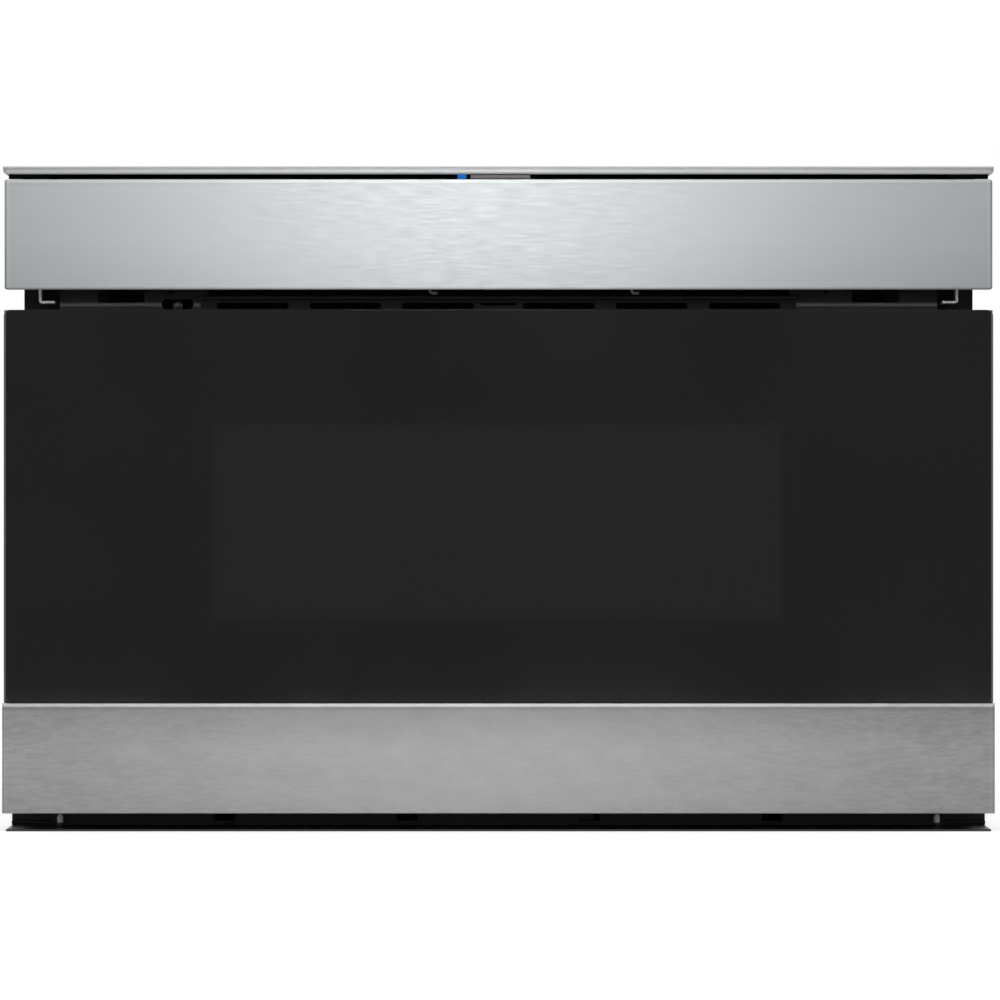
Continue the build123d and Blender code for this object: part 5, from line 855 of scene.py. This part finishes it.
def hood_pattern():
    """A hood with its length along X, bulging towards +Y, open at its lower side."""
    form = bmesh.new()
    corner = {}
    for skin in (0, 1):
        for along in range(HOOD_STATIONS + 1):
            share = along / HOOD_STATIONS
            x = (share - 0.5) * HOOD_LENGTH
            swell = math.sin(math.pi * share) ** HOOD_SWELL
            for step in range(HOOD_STEPS + 1):
                angle = step / HOOD_STEPS * QUARTER
                proud = (HOOD_PROUD * swell - skin * HOOD_SHEET) * math.cos(angle)
                rise = (HOOD_HEIGHT - skin * HOOD_SHEET) * math.sin(angle)
                corner[skin, along, step] = form.verts.new((x, max(proud, -HOOD_SHEET), rise))

    def face(*keys):
        form.faces.new([corner[key] for key in keys])

    for a in range(HOOD_STATIONS):
        for s in range(HOOD_STEPS):
            face((0, a, s), (0, a + 1, s), (0, a + 1, s + 1), (0, a, s + 1))
            face((1, a, s + 1), (1, a + 1, s + 1), (1, a + 1, s), (1, a, s))
        for s in (0, HOOD_STEPS):
            face((0, a, s), (1, a, s), (1, a + 1, s), (0, a + 1, s))
    for a in (0, HOOD_STATIONS):
        for s in range(HOOD_STEPS):
            face((0, a, s), (0, a, s + 1), (1, a, s + 1), (1, a, s))
    bmesh.ops.remove_doubles(form, verts=form.verts, dist=MERGE)
    face_outwards(form)
    return as_piece("hood_pattern", form, FINISHES["zinc_steel"])


HOOD = hood_pattern()

# %% Repeat the hood over the slots
LOUVRE_COLUMNS = (-0.15, 0.15)
LOUVRE_COUNT = 9
LOUVRE_PITCH = 10.0 * MM
LOUVRE_BOTTOM = 0.19
BACK_FACE_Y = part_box("back_panel")[1].y
places = [(x, BACK_FACE_Y, LOUVRE_BOTTOM + row * LOUVRE_PITCH)
          for x in LOUVRE_COLUMNS for row in range(LOUVRE_COUNT)]
repeat_on_case("louvre_hoods", HOOD, places, (0, 0, 0), "zinc_steel")

# %% [markdown]
# ## Stiffening beads
#
# Large flat sheet drums and dents, so a press puts long beads in it. Each is a shallow dome
# with round ends. Rings that shrink as they rise give it a round section.

# %% Model one bead and repeat it
BEAD_LENGTH = 430.0 * MM
BEAD_HALF_WIDTH = 7.0 * MM
BEAD_PROUD = 1.1 * MM
BEAD_SUNK = 0.2 * MM
BEAD_END_STEPS = 20
BEAD_RINGS = ((1.0, 0.0), (0.8, 0.36), (0.55, 0.7), (0.25, 0.94))
BEAD_MIDDLE_Y = 0.02
SIDE_BEAD_Z = (0.105, 0.195, 0.285)
ROOF_BEAD_X = (-0.19, -0.065, 0.065, 0.19)


def bead_outline(share):
    """The outline of a bead, its half width a share of the full one."""
    straight = BEAD_LENGTH / 2 - BEAD_HALF_WIDTH
    end = []
    for step in range(BEAD_END_STEPS + 1):
        x, y = on_circle(BEAD_HALF_WIDTH * share, -QUARTER + step * math.pi / BEAD_END_STEPS)
        end.append((straight + x, y))
    return end + [(-x, -y) for x, y in end]


def bead_pattern():
    """A bead with its length along X, bulging towards +Z."""
    form = bmesh.new()
    rings = [ring_of(form, bead_outline(1.0), -BEAD_SUNK)]
    for share, height in BEAD_RINGS:
        rings.append(ring_of(form, bead_outline(share), BEAD_PROUD * height))
    for lower, upper in zip(rings, rings[1:]):
        join_rings(form, lower, upper)
    form.faces.new(rings[-1])
    form.faces.new(list(reversed(rings[0])))
    face_outwards(form)
    return as_piece("bead_pattern", form, FINISHES["zinc_steel"])


BEAD = bead_pattern()
for side, sign in SIDES:
    places = [(sign * CASE_HIGH.x, BEAD_MIDDLE_Y, z) for z in SIDE_BEAD_Z]
    repeat_on_case("side_beads_" + side, BEAD, places, (QUARTER, 0, sign * QUARTER), "zinc_steel")
places = [(x, BEAD_MIDDLE_Y, CASE_HIGH.z) for x in ROOF_BEAD_X]
repeat_on_case("roof_beads", BEAD, places, (0, 0, QUARTER), "zinc_steel")

# %% [markdown]
# ## Foam in the frame's notches
#
# Behind each hinge bracket's foot the frame has a square notch, which is black in the
# photograph. A foam plug stops each against light and steam, a little back in the sheet.

# %% Fill the notches
FRAME_HALF_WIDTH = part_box("front_frame")[1].x
FRAME_SHEET = 1.2 * MM
NOTCH_FROM_EDGE = 15.0 * MM
NOTCH_HALF = 7.05 * MM
NOTCH_MIDDLE_Z = DOOR_TOP_Z + 8.6 * MM
NOTCH_CORNER = 1.0 * MM
CORNER_STEPS = 4
PLUG_BACK = 0.3 * MM
PLUG_DEPTH = 0.85 * MM


def notch_outline():
    """Corners of a square with round corners, counter-clockwise."""
    outline = []
    middle = NOTCH_HALF - NOTCH_CORNER
    for quarter, (x, y) in enumerate(((1, 1), (-1, 1), (-1, -1), (1, -1))):
        for step in range(CORNER_STEPS + 1):
            u, w = on_circle(NOTCH_CORNER, (quarter + step / CORNER_STEPS) * QUARTER)
            outline.append((x * middle + u, y * middle + w))
    return outline


def close_solid(form, low, high):
    """A closed solid between two rings."""
    form.faces.new(high)
    form.faces.new(list(reversed(low)))
    join_rings(form, low, high)
    face_outwards(form)


def foam_plug(name, x):
    """A plug that fills one notch, its front a little behind the sheet's front."""
    form = bmesh.new()
    front_y = CASE_LOW.y - FRAME_SHEET + PLUG_BACK
    back, front = (
        [form.verts.new((x + u, y, NOTCH_MIDDLE_Z + w)) for u, w in notch_outline()]
        for y in (front_y + PLUG_DEPTH, front_y))
    close_solid(form, back, front)
    piece = as_piece(name, form, FINISHES["rubber"])
    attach(piece, "case")


for side, sign in SIDES:
    foam_plug("foam_plug_" + side, sign * (FRAME_HALF_WIDTH - NOTCH_FROM_EDGE))

# %% [markdown]
# ## Small hooks
#
# Two small hooks hang over the exhaust outlet, each a stiff nylon-coated rod. The solid
# model has square corners. Here a tree rounds a path's corners and sweeps a circle along it.

# %% The tree that sweeps a rod
ROD_RADIUS = 0.85 * MM
ROD_BEND = 2.2 * MM
ROD_BEND_STEPS = 6
ROD_SIDES = 12


def rod_tree():
    """Rounds the corners of a path and sweeps a circle along it."""
    tree, given, sockets = new_tree("wire_along_path", {
        "Radius": "Float", "Bend": "Float", "Steps": "Int", "Finish": "Material"})
    path = read(tree, "MeshToCurve", 0, {"Mesh": given["Geometry"]})
    values = {"Curve": path, "Radius": given["Bend"], "Count": given["Steps"]}
    bent = read(tree, "FilletCurve", 0, values, mode="POLY")
    circle = read(
        tree, "CurvePrimitiveCircle", 0, {"Resolution": ROD_SIDES, "Radius": given["Radius"]})
    values = {"Curve": bent, "Profile Curve": circle, "Fill Caps": True}
    end_tree(tree, read(tree, "CurveToMesh", 0, values), given["Finish"])
    return tree, sockets


# %% Bend the hooks
HOOK_LOW, HOOK_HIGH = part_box("hook_clips")
HOOK_FROM_LEFT = 2.4 * MM
HOOK_REACH = 4.6 * MM
HOOK_TIP_RISE = 0.4 * MM


def hook_path(x):
    """Four corners of one hook: out of the frame, forward, down and to the right."""
    y = HOOK_LOW.y + ROD_RADIUS
    root, low = HOOK_HIGH.z - ROD_RADIUS, HOOK_LOW.z + ROD_RADIUS
    tip = (x + HOOK_REACH, y, low + HOOK_TIP_RISE)
    return [(x, HOOK_HIGH.y, root), (x, y, root), (x, y, low), tip]


left_x, right_x = HOOK_LOW.x + HOOK_FROM_LEFT, HOOK_HIGH.x - HOOK_REACH - ROD_RADIUS
hook_paths = bpy.data.meshes.new("hook_paths")
hook_paths.from_pydata(
    hook_path(left_x) + hook_path(right_x), [(0, 1), (1, 2), (2, 3), (4, 5), (5, 6), (6, 7)], [])
hooks = grow("wire_hooks", hook_paths, rod_tree(), {
    "Radius": ROD_RADIUS, "Bend": ROD_BEND, "Steps": ROD_BEND_STEPS,
    "Finish": finish_of("hook_clips")})
stand_in_for(hooks, "hook_clips")

# %% [markdown]
# ## The perforated screen
#
# Behind the window is a steel screen whose holes are too small for microwaves. The solid
# model has a coarse one. Here a tree puts one ring-shaped cell on each point of a grid and
# welds the cells into one sheet, which then gets a rim.

# %% Model one cell of the screen
SCREEN_LOW, SCREEN_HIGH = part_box("door_screen")
SCREEN_SHEET = SCREEN_HIGH.y - SCREEN_LOW.y
CELL_PITCH = 3.9 * MM
CELL_HOLE_RADIUS = 1.35 * MM
CELL_SIDES = 8
CELL_COLUMNS = int((SCREEN_HIGH.x - SCREEN_LOW.x) / CELL_PITCH) - 1
CELL_ROWS = int((SCREEN_HIGH.z - SCREEN_LOW.z) / CELL_PITCH) - 1


def screen_cell():
    """A square cell in the X-Y plane with an eight-sided hole and open outer walls."""
    form = bmesh.new()
    half = CELL_PITCH / 2
    square = [(half, 0), (half, half), (0, half), (-half, half),
              (-half, 0), (-half, -half), (0, -half), (half, -half)]
    hole = [on_circle(CELL_HOLE_RADIUS, step * math.tau / CELL_SIDES) for step in range(CELL_SIDES)]
    outer_low, hole_low = ring_of(form, square, 0.0), ring_of(form, hole, 0.0)
    outer_high, hole_high = ring_of(form, square, SCREEN_SHEET), ring_of(form, hole, SCREEN_SHEET)
    join_rings(form, hole_low, outer_low)
    join_rings(form, outer_high, hole_high)
    join_rings(form, hole_high, hole_low)
    return as_piece("screen_cell", form, FINISHES["black_steel"])


# %% The tree that makes the sheet
WELD = 0.02 * MM


def screen_tree():
    """A grid of cells, welded."""
    tree, given, sockets = new_tree("screen_of_cells", {
        "Cell": "Object", "Columns": "Int", "Rows": "Int", "Pitch": "Float",
        "Centre": "Vector", "Turn": "Vector", "Finish": "Material"})
    columns, rows, pitch = (given[label] for label in ("Columns", "Rows", "Pitch"))
    width, height = (
        maths(tree, "MULTIPLY", maths(tree, "SUBTRACT", count, 1.0), pitch)
        for count in (columns, rows))
    grid = read(tree, "MeshGrid", "Mesh", {
        "Size X": width, "Size Y": height, "Vertices X": columns, "Vertices Y": rows})
    cell = read(tree, "ObjectInfo", "Geometry", {"Object": given["Cell"]})
    copies = read(tree, "InstanceOnPoints", 0, {"Points": grid, "Instance": cell})
    real = read(tree, "RealizeInstances", 0, {"Geometry": copies})
    welded = read(tree, "MergeByDistance", 0, {"Geometry": real, "Distance": WELD})
    turn = read(tree, "FunctionNodeEulerToRotation", 0, {"Euler": given["Turn"]})
    upright = read(tree, "Transform", 0, {
        "Geometry": welded, "Translation": given["Centre"], "Rotation": turn})
    end_tree(tree, upright, given["Finish"])
    return tree, sockets


# %% Close the sheet's border
BORDER_REACH = 5 * MERGE


def close_border(mesh, low_corner, high_corner):
    """Closes the outer walls of the sheet with a rim that reaches the window's edges."""
    form = bmesh.new()
    form.from_mesh(mesh)
    border = [edge for edge in form.edges if edge.is_boundary]
    made = bmesh.ops.extrude_edge_only(form, edges=border)["geom"]
    grown = [item.co for item in made if isinstance(item, bmesh.types.BMVert)]
    for axis in (0, 2):
        low, high = (end(place[axis] for place in grown) for end in (min, max))
        for place in grown:
            if abs(place[axis] - low) < BORDER_REACH:
                place[axis] = low_corner[axis]
            elif abs(place[axis] - high) < BORDER_REACH:
                place[axis] = high_corner[axis]
    loose = [edge for edge in form.edges if edge.is_boundary]
    bmesh.ops.bridge_loops(form, edges=loose)
    face_outwards(form)
    form.to_mesh(mesh)
    form.free()


CELL = screen_cell()
centre = (SCREEN_LOW + SCREEN_HIGH) / 2
centre.y = SCREEN_HIGH.y
screen = grow("perforated_screen", bpy.data.meshes.new("screen_start"), screen_tree(), {
    "Cell": CELL, "Columns": CELL_COLUMNS, "Rows": CELL_ROWS, "Pitch": CELL_PITCH,
    "Centre": centre, "Turn": (QUARTER, 0, 0), "Finish": finish_of("door_screen")})
close_border(screen.data, SCREEN_LOW, SCREEN_HIGH)
stand_in_for(screen, "door_screen")
for single in (SCREW, HOOD, BEAD, CELL):
    bpy.data.objects.remove(single)
print("screen cells:", CELL_COLUMNS * CELL_ROWS, "faces:", len(screen.data.polygons))

# %% [markdown]
# ## The touch panel's print
#
# The panel's top face is black glass with printed keys. Text objects give the figures, and
# outlines give plain signs: a triangle to start, a square to stop, arrows for more and less,
# a ring with hands for the clock and an open ring with a bar for power.

# %% Ink and figures
INK_CLOUDS = 400
PRINT_HEIGHT = 0.06 * MM
BOLDER = 0.012
GLASS_LOW, GLASS_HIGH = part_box("touch_glass")
KEY_ROW_Y = (GLASS_LOW.y + GLASS_HIGH.y) / 2


def print_finish(slot, name, colour, strength):
    """Pale print that is lit from below, with a slight unevenness."""
    tree, ink = start_finish(slot, name, Roughness=0.4, Emission_Strength=strength)
    cloud = spread(tree, noise(tree, INK_CLOUDS), 0, 1)
    lit = blend_colours(tree, cloud, shade(colour, 0.9), colour)
    connect(tree, ink, Base_Color=lit, Emission_Color=lit)


def lay_print(name, mesh, x, ink="ink"):
    """Puts a flat print on the glass as its own piece."""
    mesh.transform(Matrix.Translation((x, KEY_ROW_Y, GLASS_HIGH.z - PRINT_HEIGHT / 2)))
    mesh.materials.clear()
    mesh.materials.append(FINISHES[ink])
    piece = add_object(name, mesh)
    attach(piece, "control_panel")


def text_mesh(words, size):
    """Figures as a mesh, centred on the origin."""
    curve = bpy.data.curves.new("figures", "FONT")
    curve.body = words
    curve.size = size
    curve.align_x = curve.align_y = "CENTER"
    curve.extrude = PRINT_HEIGHT / 2
    curve.offset = size * BOLDER
    holder = add_object("figures", curve)
    mesh = evaluated_mesh(holder)
    bpy.data.objects.remove(holder)
    return mesh


print_finish("ink", "key_print", (0.75, 0.76, 0.76), 0.2)
print_finish("lit_ink", "display_digits", (0.75, 0.85, 0.88), 0.6)


# %% Outlines of signs
SIGN = 3.2 * MM
STROKE = SIGN * 0.18
HALF_STROKE = STROKE / 2


def sign_mesh(outlines):
    """A flat sign out of closed outlines, with a thin edge."""
    form = bmesh.new()
    for outline in outlines:
        close_solid(form, ring_of(form, outline, 0.0), ring_of(form, outline, PRINT_HEIGHT))
    mesh = bpy.data.meshes.new("sign")
    form.to_mesh(mesh)
    form.free()
    return mesh


def polygon(sides, turn=0.0):
    """Corners of a regular outline."""
    return [on_circle(SIGN, turn + step * math.tau / sides) for step in range(sides)]


def rectangle(left, bottom, right, top):
    """Corners of an upright rectangle."""
    return [(left, bottom), (right, bottom), (right, top), (left, top)]


def ring_pieces(count):
    """A ring as short bars."""
    bars = []
    for step in range(count):
        first, second = step * math.tau / count, (step + 1) * math.tau / count
        bars.append([on_circle(SIGN - STROKE, first), on_circle(SIGN, first),
                     on_circle(SIGN, second), on_circle(SIGN - STROKE, second)])
    return bars


# %% Lay the print
clock_hands = [rectangle(-HALF_STROKE, 0, HALF_STROKE, SIGN * 0.6),
               rectangle(0, -HALF_STROKE, SIGN * 0.45, HALF_STROKE)]
power_ring = [piece for step, piece in enumerate(ring_pieces(18)) if step not in (3, 4, 5)]
SIGNS = {
    "sign_start": (0.265, [polygon(3)]),
    "sign_stop": (0.235, [polygon(4, math.pi / 4)]),
    "sign_more": (-0.135, [polygon(3, QUARTER)]),
    "sign_less": (-0.17, [polygon(3, -QUARTER)]),
    "sign_clock": (-0.24, ring_pieces(24) + clock_hands),
    "sign_power": (-0.205, power_ring + [rectangle(-HALF_STROKE, SIGN * 0.2, HALF_STROKE, SIGN)]),
}
for name, (x, outlines) in SIGNS.items():
    lay_print(name, sign_mesh(outlines), x)
FIGURES = "1234567890"
FIGURE_SIZE, TIME_SIZE = 8.0 * MM, 11.0 * MM
KEY_PITCH = 14.5 * MM
KEY_FIRST_X = 88.0 * MM
for index, figure in enumerate(FIGURES):
    lay_print("key_" + figure, text_mesh(figure, FIGURE_SIZE), KEY_FIRST_X + index * KEY_PITCH)
lay_print("display_time", text_mesh("12:00", TIME_SIZE), 0.0, "lit_ink")
print("print pieces:", len(SIGNS) + len(FIGURES) + 1)

# %% [markdown]
# ## Floor, light and background
#
# The photograph has a plain white ground. The floor is pale, keeps the drawer's shadow and
# is as white as the background to the camera. The light is a soft box over the camera,
# weaker ones above and from each side and an even glow. The first stands high, so the door
# glass doesn't mirror it, while the brushed steel smears it down.

# %% Build the floor
FLOOR_HALF_WIDTH = 2.6
FLOOR_FRONT_Y = -2.4
FLOOR_BACK_Y = 3.0
FLOOR_LIFT = 0.45
FLOOR_DROP = 0.2 * MM
FLOOR_GREYS = (0.84, 0.86)
WHITE = (1, 1, 1, 1)


def floor_finish():
    """Pale floor that the camera sees a little lighter, so it is white where no shadow falls."""
    material = bpy.data.materials.new("studio_floor")
    material.use_nodes = True
    tree = material.node_tree
    tree.nodes.clear()
    grain = spread(tree, noise(tree, 2), 0, 1)
    ground = blend_colours(tree, grain, *map(grey, FLOOR_GREYS))
    pale = read(tree, "BsdfDiffuse", 0, {"Color": ground})
    seen = read(tree, "LightPath", "Is Camera Ray")
    lift = read(tree, "Emission", 0, {
        "Color": WHITE, "Strength": maths(tree, "MULTIPLY", seen, FLOOR_LIFT)})
    both = read(tree, "AddShader", 0, {0: pale, 1: lift})
    add_node(tree, "OutputMaterial", {"Surface": both})
    return material


floor_mesh = bpy.data.meshes.new("studio_floor")
outline = rectangle(-FLOOR_HALF_WIDTH, FLOOR_FRONT_Y, FLOOR_HALF_WIDTH, FLOOR_BACK_Y)
floor_mesh.from_pydata([(x, y, 0) for x, y in outline], [], [(0, 1, 2, 3)])
floor_mesh.materials.append(floor_finish())
floor = add_object("studio_floor", floor_mesh)
floor.location.z = -FLOOR_DROP

# %% Set the world
WORLD_DIFFUSE = 0.6
WORLD_FRONT_MIRRORED = 0.2
MIRRORED_START, MIRRORED_END = -0.45, 0.15


def build_world():
    """White to the camera. Mirrors see white behind and above the drawer, grey in front of it."""
    world = bpy.data.worlds.new("studio")
    bpy.context.scene.world = world
    world.use_nodes = True
    tree = world.node_tree
    tree.nodes.clear()
    way = read(tree, "TexCoord", "Generated")
    to_back = read(tree, "SeparateXYZ", "Y", {"Vector": way})
    mirrored = spread(tree, to_back, WORLD_FRONT_MIRRORED, 1.0, MIRRORED_START, MIRRORED_END)
    ray = add_node(tree, "LightPath").outputs
    level = blend_numbers(tree, ray["Is Glossy Ray"], WORLD_DIFFUSE, mirrored)
    level = blend_numbers(tree, ray["Is Transmission Ray"], level, 1.0)
    level = blend_numbers(tree, ray["Is Camera Ray"], level, 1.0)
    ground = read(tree, "Background", 0, {"Color": WHITE, "Strength": level})
    add_node(tree, "OutputWorld", {"Surface": ground})


build_world()

# %% Hang the lights
AIM = Vector((0.0, 0.0, 0.2))


def soft_box(name, place, size, power):
    """An area light that faces the drawer."""
    data = bpy.data.lights.new(name, "AREA")
    data.shape = "RECTANGLE"
    data.size, data.size_y = size
    data.energy = power
    light = add_object(name, data)
    light.location = place
    light.rotation_euler = (AIM - Vector(place)).to_track_quat("-Z", "Y").to_euler()


soft_box("front_box", (-0.05, -4.3, 1.2), (0.3, 1.2), 19.0)
soft_box("top_box", (0.0, -0.9, 2.3), (1.6, 1.0), 10.0)
soft_box("left_box", (-3.2, -1.2, 2.2), (1.4, 1.4), 14.0)
soft_box("right_box", (3.2, -1.2, 2.2), (1.4, 1.4), 14.0)
bpy.context.scene.view_settings.view_transform = "Standard"
